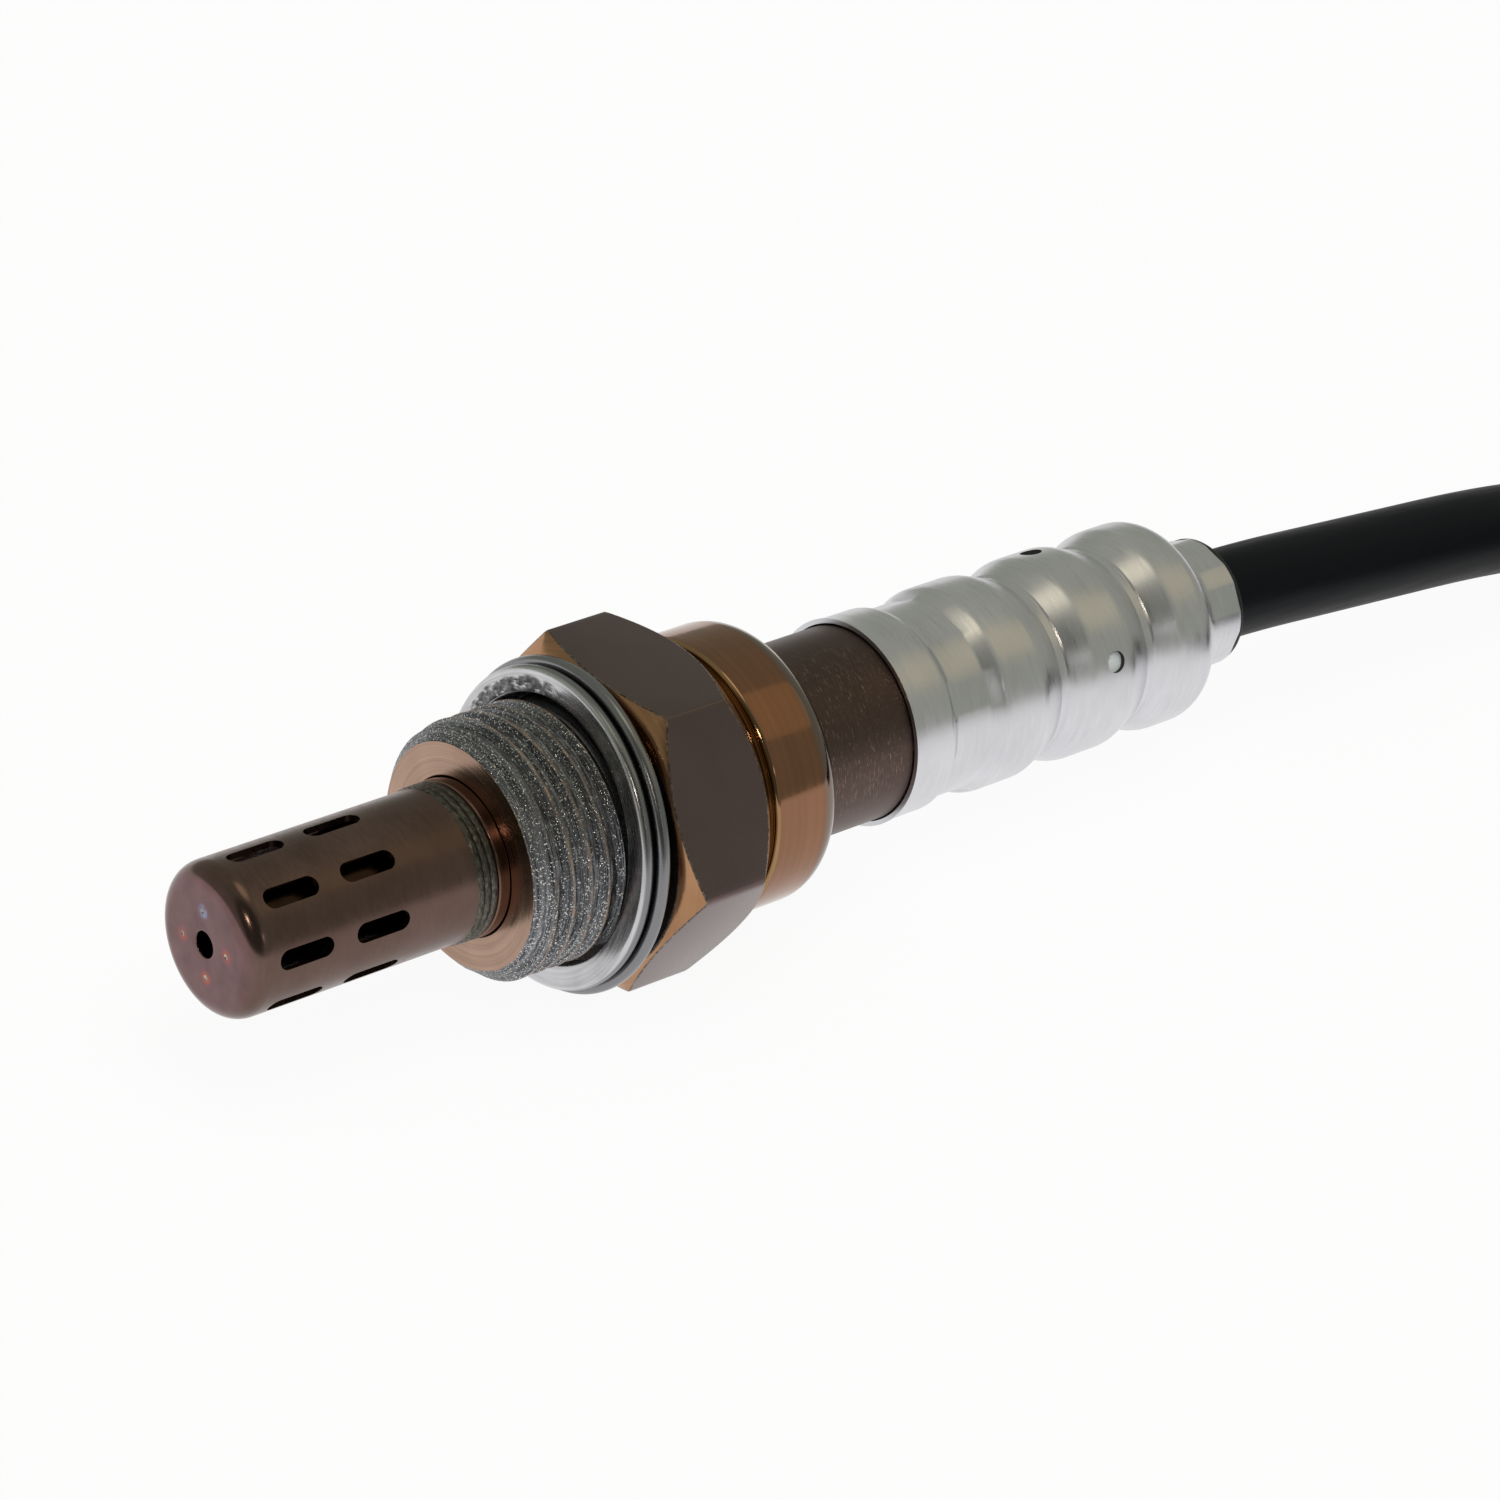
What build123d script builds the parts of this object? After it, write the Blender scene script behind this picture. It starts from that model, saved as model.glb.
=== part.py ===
from build123d import *
import os
from math import atan2, cos, degrees, dist, pi, radians, sin, sqrt, tan

# Oxygen sensor: a threaded hexagon body with a slotted probe cover, a crimped tail and a lead of
# four wires that ends in a plug. Millimetres. X is the sensor's axis, from the probe's tip to the
# lead, Z is up, and the origin is the middle of the seat face that the gasket is pressed on.
# An outline is a list of (x, r) points, r being the distance from the axis.

# driving dimensions ---------------------------------------------------------------------------

# body
thread_radius = 9.0
thread_reach = 9.9  # from the seat face to the body's front face
lead_in = 1.1
relief_length = 3.8
relief_radius = 8.0
relief_corner = 0.5
seat_radius = 10.7
hex_flats = 22.0
hex_corner_radius = 12.65
hex_front_angle = 30
hex_rear = 8.86
hex_rear_radius = 9.9
groove_radius = 9.35
collar_front = 9.35
collar_radius = 10.0
collar_corner = 0.4
lip_rear = 15.5
lip_round = 1.9
lip_thickness = 1.9
lip_hole_corner = 0.5
seat_cone_rear = -2.0
nose_bore_radius = 4.2
seal_bore_radius = 6.4
counterbore_rear = -6.5

# gasket, a folded ring that leans in the relief behind the thread
gasket_clearance = 0.27  # between the gasket and the thread's crests
gasket_width = 2.29  # from its inside to the rear lobe's outside
gasket_front_step = 0.46  # the front lobe's outside below the rear lobe's
gasket_thickness = 1.95
gasket_groove_width = 0.12
gasket_groove_depth = 0.5  # below the front lobe
gasket_round = 0.42
gasket_lean_y = 4.8
gasket_lean_z = -2.2
gasket_sag = 0.1

# probe covers
cover_length = 30.54
cover_radius = 5.35
cover_wall = 0.45
cover_corner = 1.5
end_hole_radius = 0.92
slot_rows = (-26.3, -20.2)
slot_count = 8
slot_phase = 11
slot_length = 4.1
slot_width = 1.7
bead_front = -12.45
bead_ridges = 3
bead_pitch = 0.55
bead_height = 0.12
base_rim_front = -10.8
base_rim_radius = 5.5
base_spigot_length = 3.2
inner_cover_radius = 3.9
inner_cover_wall = 0.4
inner_cover_corner = 0.8
inner_cover_rear = -8.0
inner_hole_x = -16.5
inner_hole_radius = 0.75
inner_hole_count = 6

# sensing element, heater and seals
element_tip = -24.0
element_tip_radius = 2.5
element_nose_radius = 3.35
element_shoulder_rear = 4.0
element_shoulder_radius = 6.2
element_rear_radius = 4.2
element_rear = 24.0
element_bore_radius = 2.6
element_tip_bore_radius = 1.7
washer_thickness = 0.3
heater_radius = 1.45
heater_tip = -21.5
heater_rear = 32.0
talc_length = 4.0
ceramic_length = 4.0
packing_thickness = 0.8
packing_radius = 8.4

# rear sleeve
sleeve_flange_thickness = 0.8
sleeve_wall = 0.5
sleeve_radius = 7.04
sleeve_step_1 = (27.4, 28.2)
sleeve_waist_radius = 6.5
sleeve_step_2 = (34.4, 35.2)
sleeve_tail_radius = 5.9
sleeve_rear = 50.0

# end cover
end_wall = 0.35
end_front = 24.3
end_rim_radius = 7.5
end_rim_length = 1.0
end_radius = 7.4
bulge_radius = 7.5
crimp_1 = (28.5, 31.7)
crimp_1_slope = 0.6
crimp_1_ridge_radius = 7.05
crimp_1_flat_radius = 6.87
roll_bottoms = (39.1, 47.5)
roll_half_width = 2.45
roll_radius = 6.6
bulge_1_front = 33.0
shoulder_front = 53.0
neck_front = 55.5
neck_ridge_radius = 4.95
neck_flat_radius = 4.6
neck_rear = 58.5
jaw_count = 8
jaw_phase = 32.5
jaw_width = 2.62
jaw_height = 2.0
vent_x = 43.4
vent_radius = 0.8
vent_count = 4
vent_phase = 24

# filter, insulator, contacts and wires
filter_front = 37.2
filter_rear = 49.2
filter_thickness = 0.4
insulator_front = 28.8
insulator_flange_length = 5.2
insulator_flange_radius = 5.8
insulator_radius = 5.2
insulator_rear = 41.0
cavity_radius = 4.3
cavity_rear = 35.5
wire_pitch_radius = 2.2
wire_hole_radius = 0.95
wire_radius = 0.85
core_radius = 0.45
barrel_radius = 0.9
barrel_front = 36.4
barrel_length = 3.0
strip_width = 1.2
strip_thickness = 0.28
strip_bend = 2.0  # length of a bend from one radius to another
clip_lap = 1.0  # how far a strip runs back over its clip
inner_clip = (8.0, 22.0)
outer_clip = (18.0, 23.6)
grommet_front = 45.0
grommet_chamfer = 0.5
grommet_lip = 0.2  # how far the grommet stands out of the neck
socket_front = 55.0

# lead
cable_radius = 3.4
tie_width = 3.6
tie_thickness = 0.8
tie_head_depth = 3.0
tie_head_width = 5.0
tie_head_height = 6.0
coil_radius = 36.0
coil_x = 130.0
tail_length = 26.0

# plug
boot_length = 12.0
boot_grip = 6.0
boot_rear_radius = 5.2
boot_front_radius = 8.4
boot_wall = 1.4
boot_rim = 2.0
boot_neck = 5.0
plug_size = 22.0
plug_length = 35.0
cap_thickness = 3.0
cap_border = 0.6
seal_length = 5.0
seal_size = 17.0
skirt_wall = 1.8
skirt_depth = 22.0
tower_size = 14.0
tower_setback = 3.0
terminal_spacing = 7.0
terminal_size = 2.2
terminal_length = 20.0
terminal_socket = 8.0
socket_size = 1.2
lock_thickness = 1.5
lock_round = 1.0
ring_seal_length = 4.0
lead_straight = 1.2  # a wire's straight ends on each side of its spread in the boot
latch_width = 8.0
latch_length = 24.0
latch_thickness = 1.6
latch_gap = 1.2
latch_root = 4.0
latch_root_share = 0.6  # how far along the arm its root starts
latch_round = 0.5
edge_round = 1.5

# clearances
fine = 0.02  # parts pressed or slid together
loose = 0.1  # parts dropped in
wide = 0.2


# shapes ---------------------------------------------------------------------------------------


def turned(points, radii=None):
    """A closed outline, its corners rounded where radii gives one, turned about the axis."""
    line = FilletPolyline(*points, radius=radii, close=True) if radii else Polyline(*points, close=True)
    return revolve(make_face(line.edges()), Axis.X)


def tubular(front, rear, outer, inner=0):
    """A plain cylinder or ring on the axis."""
    face = Circle(outer) - Circle(inner) if inner else Circle(outer)
    return extrude(Plane.YZ.offset(front) * face, rear - front)


def beside(points, gap):
    """An open outline moved to its left by gap, with mitred corners."""
    aims = [atan2(r2 - r1, x2 - x1) for (x1, r1), (x2, r2) in zip(points, points[1:])]
    moved = []
    for (x, r), a, b in zip(points, [aims[0], *aims], [*aims, aims[-1]]):
        reach = gap / cos((b - a) / 2)
        moved.append((x - reach * sin((a + b) / 2), r + reach * cos((a + b) / 2)))
    return moved


def beside_radii(points, radii, gap):
    """The corner radii that keep a moved outline's arcs concentric with the first outline's."""
    aims = [atan2(r2 - r1, x2 - x1) for (x1, r1), (x2, r2) in zip(points, points[1:])]
    return [radius - gap if b > a else radius + gap for radius, a, b in zip(radii, aims, aims[1:])]


def sheet(outer, radii, wall):
    """A turned sheet-metal shell: its outer outline, the radii of its inner corners and its wall."""
    inner = beside(outer, -wall)
    inner_radii = beside_radii(outer, radii, -wall)
    return turned(outer + inner[::-1], [0, *radii, 0, 0, *inner_radii[::-1], 0])


def at_angle(shape, angle):
    """Turns a shape made above the axis to an angle that starts at -Y and passes +Z."""
    return Rot(X=90 - angle) * shape


def around(shape, count, phase):
    return [at_angle(shape, phase + 360 / count * i) for i in range(count)]


def strip(points, angle):
    """A flat spring contact bent along an outline."""
    edge = beside(points, strip_thickness / 2) + beside(points, -strip_thickness / 2)[::-1]
    face = Plane.XZ * make_face(Polyline(*edge, close=True).edges())
    return at_angle(extrude(face, strip_width / 2, both=True), angle)


def block(x_from, x_to, y, z, wide_y, high_z, corner=0):
    """A bar along X, square or with rounded edges, centred on (y, z)."""
    face = RectangleRounded(wide_y, high_z, corner) if corner else Rectangle(wide_y, high_z)
    return extrude(Plane.YZ.offset(min(x_from, x_to)) * (Pos(y, z) * face), abs(x_to - x_from))


def corner_radii(route):
    """The radius of the arc that rounds each corner of a route."""
    radii = []
    for a, b, c in zip(route, route[1:], route[2:]):
        arriving, leaving = Vector(*b) - Vector(*a), Vector(*c) - Vector(*b)
        half_turn = radians(arriving.get_angle(leaving)) / 2
        radii.append(0.45 * min(arriving.length, leaving.length) / tan(half_turn))
    return radii


def tube(route, radius):
    """A round bar along straight runs that are joined by tangent arcs."""
    path = FilletPolyline(*route, radius=corner_radii(route))
    start = Plane(origin=route[0], z_dir=Vector(*route[1]) - Vector(*route[0]))
    return sweep(start * Circle(radius), path=path)


parts = {}


# body and gasket ------------------------------------------------------------------------------

cover_length_inside = cover_length - cover_wall
packing_front = element_shoulder_rear + talc_length + ceramic_length
pocket_rear = packing_front + packing_thickness + sleeve_flange_thickness
pocket_radius = packing_radius + loose
counterbore_radius = base_rim_radius + loose / 2
hex_front_length = (hex_corner_radius - seat_radius) * tan(radians(hex_front_angle))


def make_body():
    outer = [
        (-thread_reach, thread_radius - lead_in),
        (-thread_reach + lead_in, thread_radius),
        (-relief_length, thread_radius),
        (-relief_length + (thread_radius - relief_radius) / 2, relief_radius),
        (0, relief_radius),
        (0, seat_radius),
        (hex_front_length, hex_corner_radius),
        (hex_rear - hex_corner_radius + hex_rear_radius, hex_corner_radius),
        (hex_rear, hex_rear_radius),
        (hex_rear, groove_radius),
        (collar_front, groove_radius),
        (collar_front, collar_radius),
        (lip_rear, collar_radius),
    ]
    bore = [
        (lip_rear, sleeve_radius + wide),
        (pocket_rear, sleeve_radius + wide),
        (pocket_rear, pocket_radius),
        (packing_front, pocket_radius),
        (packing_front, seal_bore_radius),
        (seat_cone_rear, seal_bore_radius),
        (seat_cone_rear - seal_bore_radius + nose_bore_radius, nose_bore_radius),
        (counterbore_rear, nose_bore_radius),
        (counterbore_rear, counterbore_radius),
        (-thread_reach, counterbore_radius),
    ]
    radii = [0, 0, 0, 0, relief_corner, 0, 0, 0, 0, 0, 0, collar_corner, lip_round]
    blank = turned(outer + bore, radii + [lip_hole_corner] + [0] * (len(bore) - 1))
    hexagon = RegularPolygon(hex_flats / 2, 6, major_radius=False)
    return blank & extrude(Plane.YZ.offset(-thread_reach) * hexagon, thread_reach + lip_rear)


def make_gasket():
    half = gasket_thickness / 2
    rib = gasket_groove_width / 2
    inner_radius = thread_radius + gasket_clearance
    rear_radius = inner_radius + gasket_width
    front_radius = rear_radius - gasket_front_step
    groove_radius = front_radius - gasket_groove_depth
    points = [
        (-half, inner_radius),
        (-half, front_radius),
        (-rib, front_radius),
        (-rib, groove_radius),
        (rib, groove_radius),
        (rib, rear_radius),
        (half, rear_radius),
        (half, inner_radius),
    ]
    ring = turned(points, [0, gasket_round, gasket_round, 0, 0, gasket_round, gasket_round, 0])
    lean = sqrt(tan(radians(gasket_lean_y)) ** 2 + tan(radians(gasket_lean_z)) ** 2)
    centre_x = -half - seat_radius * lean - fine  # the rear face just reaches the seat's upper edge
    return Pos(centre_x, -gasket_sag, -gasket_sag) * Rot(0, gasket_lean_y, gasket_lean_z) * ring


parts["sensor_body"] = make_body()
parts["gasket"] = make_gasket()
floor_z = parts["gasket"].bounding_box().min.Z


# probe: two perforated covers on a base ring --------------------------------------------------


def make_outer_cover():
    line = [(-cover_length, end_hole_radius), (-cover_length, cover_radius), (base_rim_front, cover_radius)]
    cover = sheet(line, [cover_corner], cover_wall)
    ridge = (cover_wall + bead_height) / 2
    for i in range(bead_ridges):
        x = bead_front + bead_pitch * (i + 0.5)
        cover += revolve(Pos(x, cover_radius + bead_height - ridge) * Circle(ridge - fine / 2), Axis.X)
    slot = extrude(SlotOverall(slot_length, slot_width), cover_radius)
    for x in slot_rows:
        cover -= around(Pos(x, 0, inner_cover_radius) * slot, slot_count, slot_phase)
    return cover


def make_inner_cover():
    line = [
        (-cover_length_inside, end_hole_radius),
        (-cover_length_inside, inner_cover_radius),
        (inner_cover_rear, inner_cover_radius),
    ]
    cover = sheet(line, [inner_cover_corner], inner_cover_wall)
    drill = extrude(Circle(inner_hole_radius), cover_radius)
    return cover - around(Pos(inner_hole_x, 0, 0) * drill, inner_hole_count, 0)


def make_cover_base():
    spigot_radius = cover_radius - cover_wall - fine
    cover_bore = inner_cover_radius + fine
    return turned(
        [
            (base_rim_front - base_spigot_length, cover_bore),
            (base_rim_front - base_spigot_length, spigot_radius),
            (base_rim_front, spigot_radius),
            (base_rim_front, base_rim_radius),
            (counterbore_rear, base_rim_radius),
            (counterbore_rear, element_nose_radius + wide),
            (inner_cover_rear, element_nose_radius + wide),
            (inner_cover_rear, cover_bore),
        ]
    )


parts["outer_cover"] = make_outer_cover()
parts["inner_cover"] = make_inner_cover()
parts["cover_base"] = make_cover_base()


# sensing element, its seat washer and seals ---------------------------------------------------

# the seat cone rises one for one, so a washer on it moves the element's cone back along X
cone_offset = nose_bore_radius - (seat_cone_rear - seal_bore_radius + nose_bore_radius)
element_cone_offset = cone_offset - washer_thickness * sqrt(2)


def make_seat_washer():
    first, last = nose_bore_radius + wide, seal_bore_radius - 2 * wide
    line = [(first - cone_offset, first), (last - cone_offset, last)]
    return turned(line + beside(line, -washer_thickness)[::-1])


def make_element():
    bore_front = seat_cone_rear
    nose_round = element_tip_radius - loose
    bore_end = heater_tip - element_tip_bore_radius / 2
    points = [
        (element_tip, 0),
        (element_tip, element_tip_radius),
        (inner_cover_rear, element_nose_radius - fine),
        (element_nose_radius - element_cone_offset, element_nose_radius),
        (element_shoulder_radius - element_cone_offset, element_shoulder_radius),
        (element_shoulder_rear, element_shoulder_radius),
        (element_shoulder_rear, element_rear_radius),
        (element_rear, element_rear_radius),
        (element_rear, element_bore_radius),
        (bore_front, element_bore_radius),
        (heater_tip, element_tip_bore_radius),
        (bore_end, 0),
    ]
    return turned(points, [0, nose_round] + [0] * 10)


ceramic_front = element_shoulder_rear + talc_length
parts["seat_washer"] = make_seat_washer()
parts["sensing_element"] = make_element()
parts["heater_rod"] = tubular(heater_tip, heater_rear, heater_radius)
parts["talc_seal"] = tubular(element_shoulder_rear, ceramic_front, seal_bore_radius, element_rear_radius)
parts["alumina_sleeve"] = tubular(
    ceramic_front, packing_front, seal_bore_radius - loose, element_rear_radius + loose
)
parts["packing_ring"] = tubular(
    packing_front, packing_front + packing_thickness, packing_radius, element_rear_radius + wide
)


# rear sleeve and the end cover crimped over it ------------------------------------------------


def make_rear_sleeve():
    flange_front = packing_front + packing_thickness
    outer = [
        (pocket_rear, packing_radius),
        (pocket_rear, sleeve_radius),
        (sleeve_step_1[0], sleeve_radius),
        (sleeve_step_1[1], sleeve_waist_radius),
        (sleeve_step_2[0], sleeve_waist_radius),
        (sleeve_step_2[1], sleeve_tail_radius),
        (sleeve_rear, sleeve_tail_radius),
    ]
    inner = beside(outer[2:], -sleeve_wall)[::-1]
    front = [(flange_front, sleeve_radius - sleeve_wall), (flange_front, packing_radius)]
    sleeve = turned(outer + inner + front)
    drill = extrude(Circle(vent_radius), bulge_radius)
    return sleeve - around(Pos(vent_x, 0, 0) * drill, vent_count, vent_phase)


def end_cover_line(crimp_radius, neck_radius):
    """The end cover's outer outline, for a given radius at its first crimp and at its neck."""
    line = [
        (end_front, end_rim_radius),
        (end_front + end_rim_length, end_radius),
        (crimp_1[0] - crimp_1_slope, end_radius),
        (crimp_1[0], crimp_radius),
        (crimp_1[1], crimp_radius),
        (bulge_1_front, bulge_radius),
    ]
    for x in roll_bottoms:
        line += [(x - roll_half_width, bulge_radius), (x, roll_radius), (x + roll_half_width, bulge_radius)]
    return line + [(shoulder_front, bulge_radius), (neck_front, neck_radius), (neck_rear, neck_radius)]


end_cover_radii = [3, 0.6, 0.5, 0.8, 1.5] + [2, 1.5, 2] * len(roll_bottoms) + [1.6, 0.9]
end_cover_inner = beside(end_cover_line(crimp_1_flat_radius, neck_flat_radius), -end_wall)
end_cover_inner_radii = beside_radii(
    end_cover_line(crimp_1_flat_radius, neck_flat_radius), end_cover_radii, -end_wall
)


def make_end_cover():
    outer = end_cover_line(crimp_1_ridge_radius, neck_ridge_radius)
    radii = [0, *end_cover_radii, 0, 0, *end_cover_inner_radii[::-1], 0]
    cover = turned(outer + end_cover_inner[::-1], radii)
    first_flat = 180 - 180 / jaw_count - jaw_phase
    octagon = RegularPolygon(crimp_1_flat_radius, jaw_count, major_radius=False, rotation=first_flat)
    collet = extrude(Plane.YZ.offset(crimp_1[0]) * (Circle(end_radius) - octagon), crimp_1[1] - crimp_1[0])
    jaw_middle = neck_flat_radius + jaw_height / 2
    jaw = block(neck_front, neck_rear + jaw_height, 0, jaw_middle, jaw_width, jaw_height)
    cover -= collet
    cover -= around(jaw, jaw_count, jaw_phase)
    drill = extrude(Circle(vent_radius), bulge_radius + vent_radius)
    return cover - around(Pos(vent_x, 0, 0) * drill, vent_count, vent_phase)


parts["rear_sleeve"] = make_rear_sleeve()
parts["end_cover"] = make_end_cover()
parts["vent_filter"] = tubular(
    filter_front, filter_rear, sleeve_tail_radius + filter_thickness, sleeve_tail_radius
)


# insulator, contacts, wires and grommet -------------------------------------------------------

wire_angles = [45 + 90 * i for i in range(4)]


def make_insulator():
    flange_rear = insulator_front + insulator_flange_length
    outline = [
        (insulator_front, cavity_radius),
        (insulator_front, insulator_flange_radius),
        (flange_rear, insulator_flange_radius),
        (flange_rear, insulator_radius),
        (insulator_rear, insulator_radius),
        (insulator_rear, 0),
        (cavity_rear, 0),
        (cavity_rear, cavity_radius),
    ]
    hole = Pos(0, 0, wire_pitch_radius) * tubular(cavity_rear, insulator_rear, wire_hole_radius)
    return turned(outline) - [at_angle(hole, angle) for angle in wire_angles]


def with_barrel(contact, angle):
    """Adds the crimp barrel that holds a wire's core."""
    barrel = tubular(barrel_front, barrel_front + barrel_length, barrel_radius, core_radius)
    return contact + at_angle(Pos(0, 0, wire_pitch_radius) * barrel, angle)


strip_end = (barrel_front + wide, wire_pitch_radius)


def make_heater_terminal(angle):
    on_pad = heater_radius + strip_thickness / 2
    line = [(insulator_front, on_pad), (heater_rear - wide, on_pad)]
    line += [(heater_rear + strip_bend, wire_pitch_radius), strip_end]
    return with_barrel(strip(line, angle), angle)


def make_inner_contact(angle):
    front, rear = inner_clip
    wall_middle = element_bore_radius - strip_thickness  # low enough for a flat strip's edges
    clip = tubular(front, rear, element_bore_radius, element_bore_radius - strip_thickness)
    clip += tubular(front, front + strip_thickness, element_bore_radius, heater_radius)
    line = [(rear - clip_lap, wall_middle), (heater_rear, wall_middle)]
    line += [(heater_rear + strip_bend, wire_pitch_radius), strip_end]
    return with_barrel(clip + strip(line, angle), angle)


def make_outer_contact(angle):
    front, rear = outer_clip
    wall_middle = element_rear_radius + strip_thickness / 2
    clip = tubular(front, rear, element_rear_radius + strip_thickness, element_rear_radius)
    line = [
        (rear - clip_lap, wall_middle),
        (element_rear + clip_lap, wall_middle),
        (insulator_front, (wall_middle + wire_pitch_radius) / 2),
        (heater_rear, wire_pitch_radius),
        strip_end,
    ]
    return with_barrel(clip + strip(line, angle), angle)


def make_wire(angle):
    core_front = barrel_front + 2 * wide
    insulation_front = barrel_front + barrel_length + 2 * wide
    core = tubular(core_front, insulation_front, core_radius)
    wire = core + tubular(insulation_front, socket_front, wire_radius)
    return at_angle(Pos(0, 0, wire_pitch_radius) * wire, angle)


def make_grommet():
    plug_radius = sleeve_tail_radius - sleeve_wall
    shoulder, neck, neck_end = end_cover_inner[-3:]
    outline = [
        (grommet_front, 0),
        (grommet_front, plug_radius),
        (sleeve_rear, plug_radius),
        (sleeve_rear, shoulder[1] - grommet_chamfer),
        (sleeve_rear + grommet_chamfer, shoulder[1]),
        shoulder,
        neck,
        (neck_end[0] + grommet_lip, neck[1]),
        (neck_end[0] + grommet_lip, cable_radius),
        (socket_front, cable_radius),
        (socket_front, 0),
    ]
    body = turned(outline, [0] * 5 + end_cover_inner_radii[-2:] + [0] * 4)
    hole = Pos(0, 0, wire_pitch_radius) * tubular(grommet_front, socket_front, wire_radius)
    return body - [at_angle(hole, angle) for angle in wire_angles]


parts["terminal_insulator"] = make_insulator()
parts["heater_terminal_1"] = make_heater_terminal(wire_angles[0])
parts["inner_contact"] = make_inner_contact(wire_angles[1])
parts["heater_terminal_2"] = make_heater_terminal(wire_angles[2])
parts["outer_contact"] = make_outer_contact(wire_angles[3])
for number, angle in enumerate(wire_angles, start=1):
    parts[f"lead_wire_{number}"] = make_wire(angle)
parts["grommet"] = make_grommet()


# lead: a sagging run, a tied coil and a short tail --------------------------------------------

cable_diameter = 2 * cable_radius
low_z = floor_z + tie_thickness + cable_radius
high_z = low_z + cable_diameter
lead_route = [
    (socket_front, 0, 0),
    (61.5, 0, 0),
    (74.0, 0, -1.2),
    (92.5, 0, -2.92),
    (105.0, 0, -5.9),
    (118.0, 0, low_z),
    (coil_x, 0, low_z),
]
coil_centre = (coil_x, -coil_radius)
coil_axis = Axis((*coil_centre, 0), (0, 0, 1))
rise_angles = (180, 112.5, 90)  # starts to climb, lies on the first turn, ends


def coil_section(angle, sketch):
    """A section of the coil, drawn upright at an angle round its centre."""
    return Pos(*coil_centre) * Rot(Z=angle) * Pos(coil_radius, 0) * Rot(X=90) * sketch


def coil_height(angle):
    """The height of the climbing quarter turn, level at both ends."""
    share = min(1, (rise_angles[0] - angle) / (rise_angles[0] - rise_angles[1]))
    return low_z + cable_diameter * share**2 * (3 - 2 * share)


def make_coil():
    double = Pos(0, low_z + cable_radius) * Rot(Z=90) * SlotCenterToCenter(cable_diameter, cable_diameter)
    coil = revolve(coil_section(-90, double), coil_axis, revolution_arc=180)
    coil += revolve(coil_section(180, Pos(0, low_z) * Circle(cable_radius)), coil_axis, revolution_arc=90)
    steps = 8
    angles = [rise_angles[0] + (rise_angles[2] - rise_angles[0]) * i / steps for i in range(steps + 1)]
    points = [
        (
            coil_centre[0] + coil_radius * cos(radians(angle)),
            coil_centre[1] + coil_radius * sin(radians(angle)),
            coil_height(angle),
        )
        for angle in angles
    ]
    climb = Spline(*points, tangents=[(0, 1, 0), (1, 0, 0)])
    return coil + sweep(coil_section(180, Pos(0, low_z) * Circle(cable_radius)), path=climb)


def make_tie():
    """A strap round the two turns, where they are farthest from the sensor, with its ratchet head."""
    thickness = 2 * tie_thickness
    middle = low_z + cable_radius
    inside = Rot(Z=90) * SlotCenterToCenter(cable_diameter, cable_diameter)
    outside = Rot(Z=90) * SlotCenterToCenter(cable_diameter, cable_diameter + thickness)
    spread = degrees(tie_width / coil_radius)
    section = coil_section(-spread / 2, Pos(0, middle) * (outside - inside))
    strap = revolve(section, coil_axis, revolution_arc=spread)
    head_front = coil_x + coil_radius + cable_radius + tie_thickness / 2
    head_rear = head_front + tie_head_depth
    head_size = (tie_head_width, tie_head_height, tie_thickness)
    return strap + block(head_front, head_rear, coil_centre[1], middle, *head_size)


tail_y, tail_z = -2 * coil_radius, high_z
tail_end = coil_x - tail_length
parts["cable"] = tube(lead_route, cable_radius)
parts["cable_coil"] = make_coil()
parts["cable_tie"] = make_tie()
parts["cable_tail"] = Pos(0, tail_y, tail_z) * tubular(tail_end, coil_x, cable_radius)


# plug, lying on the floor beside the coil and facing back along the sensor ---------------------

boot_rear = tail_end + boot_grip
cap_rear = boot_rear - boot_length
housing_rear = cap_rear - cap_thickness
plug_front = housing_rear - plug_length
skirt_rear = plug_front + skirt_depth
seal_front = housing_rear - seal_length
tower_front = plug_front + tower_setback
half_spacing = terminal_spacing / 2
terminal_places = [(y, z) for y in (-half_spacing, half_spacing) for z in (-half_spacing, half_spacing)]
on_tail = Pos(0, tail_y, tail_z)


def make_boot():
    hollow_rear = tail_end
    outline = [
        (cap_rear, boot_front_radius - boot_wall),
        (cap_rear, boot_front_radius),
        (cap_rear + boot_rim, boot_front_radius),
        (boot_rear - boot_neck, boot_rear_radius),
        (boot_rear, boot_rear_radius),
        (boot_rear, cable_radius),
        (hollow_rear, cable_radius),
        (hollow_rear, cable_radius + wide),
    ]
    return turned(outline)


def make_cap():
    cap_size = plug_size - 2 * cap_border
    cap = block(cap_rear, housing_rear, 0, 0, cap_size, cap_size, edge_round)
    for y, z in terminal_places:
        cap -= Pos(0, y, z) * tubular(housing_rear, cap_rear, wire_hole_radius)
    return cap


def make_wire_seal():
    seal = block(housing_rear, seal_front, 0, 0, seal_size, seal_size, edge_round)
    for y, z in terminal_places:
        seal -= Pos(0, y, z) * tubular(seal_front, housing_rear, wire_radius)
    return seal


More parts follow.
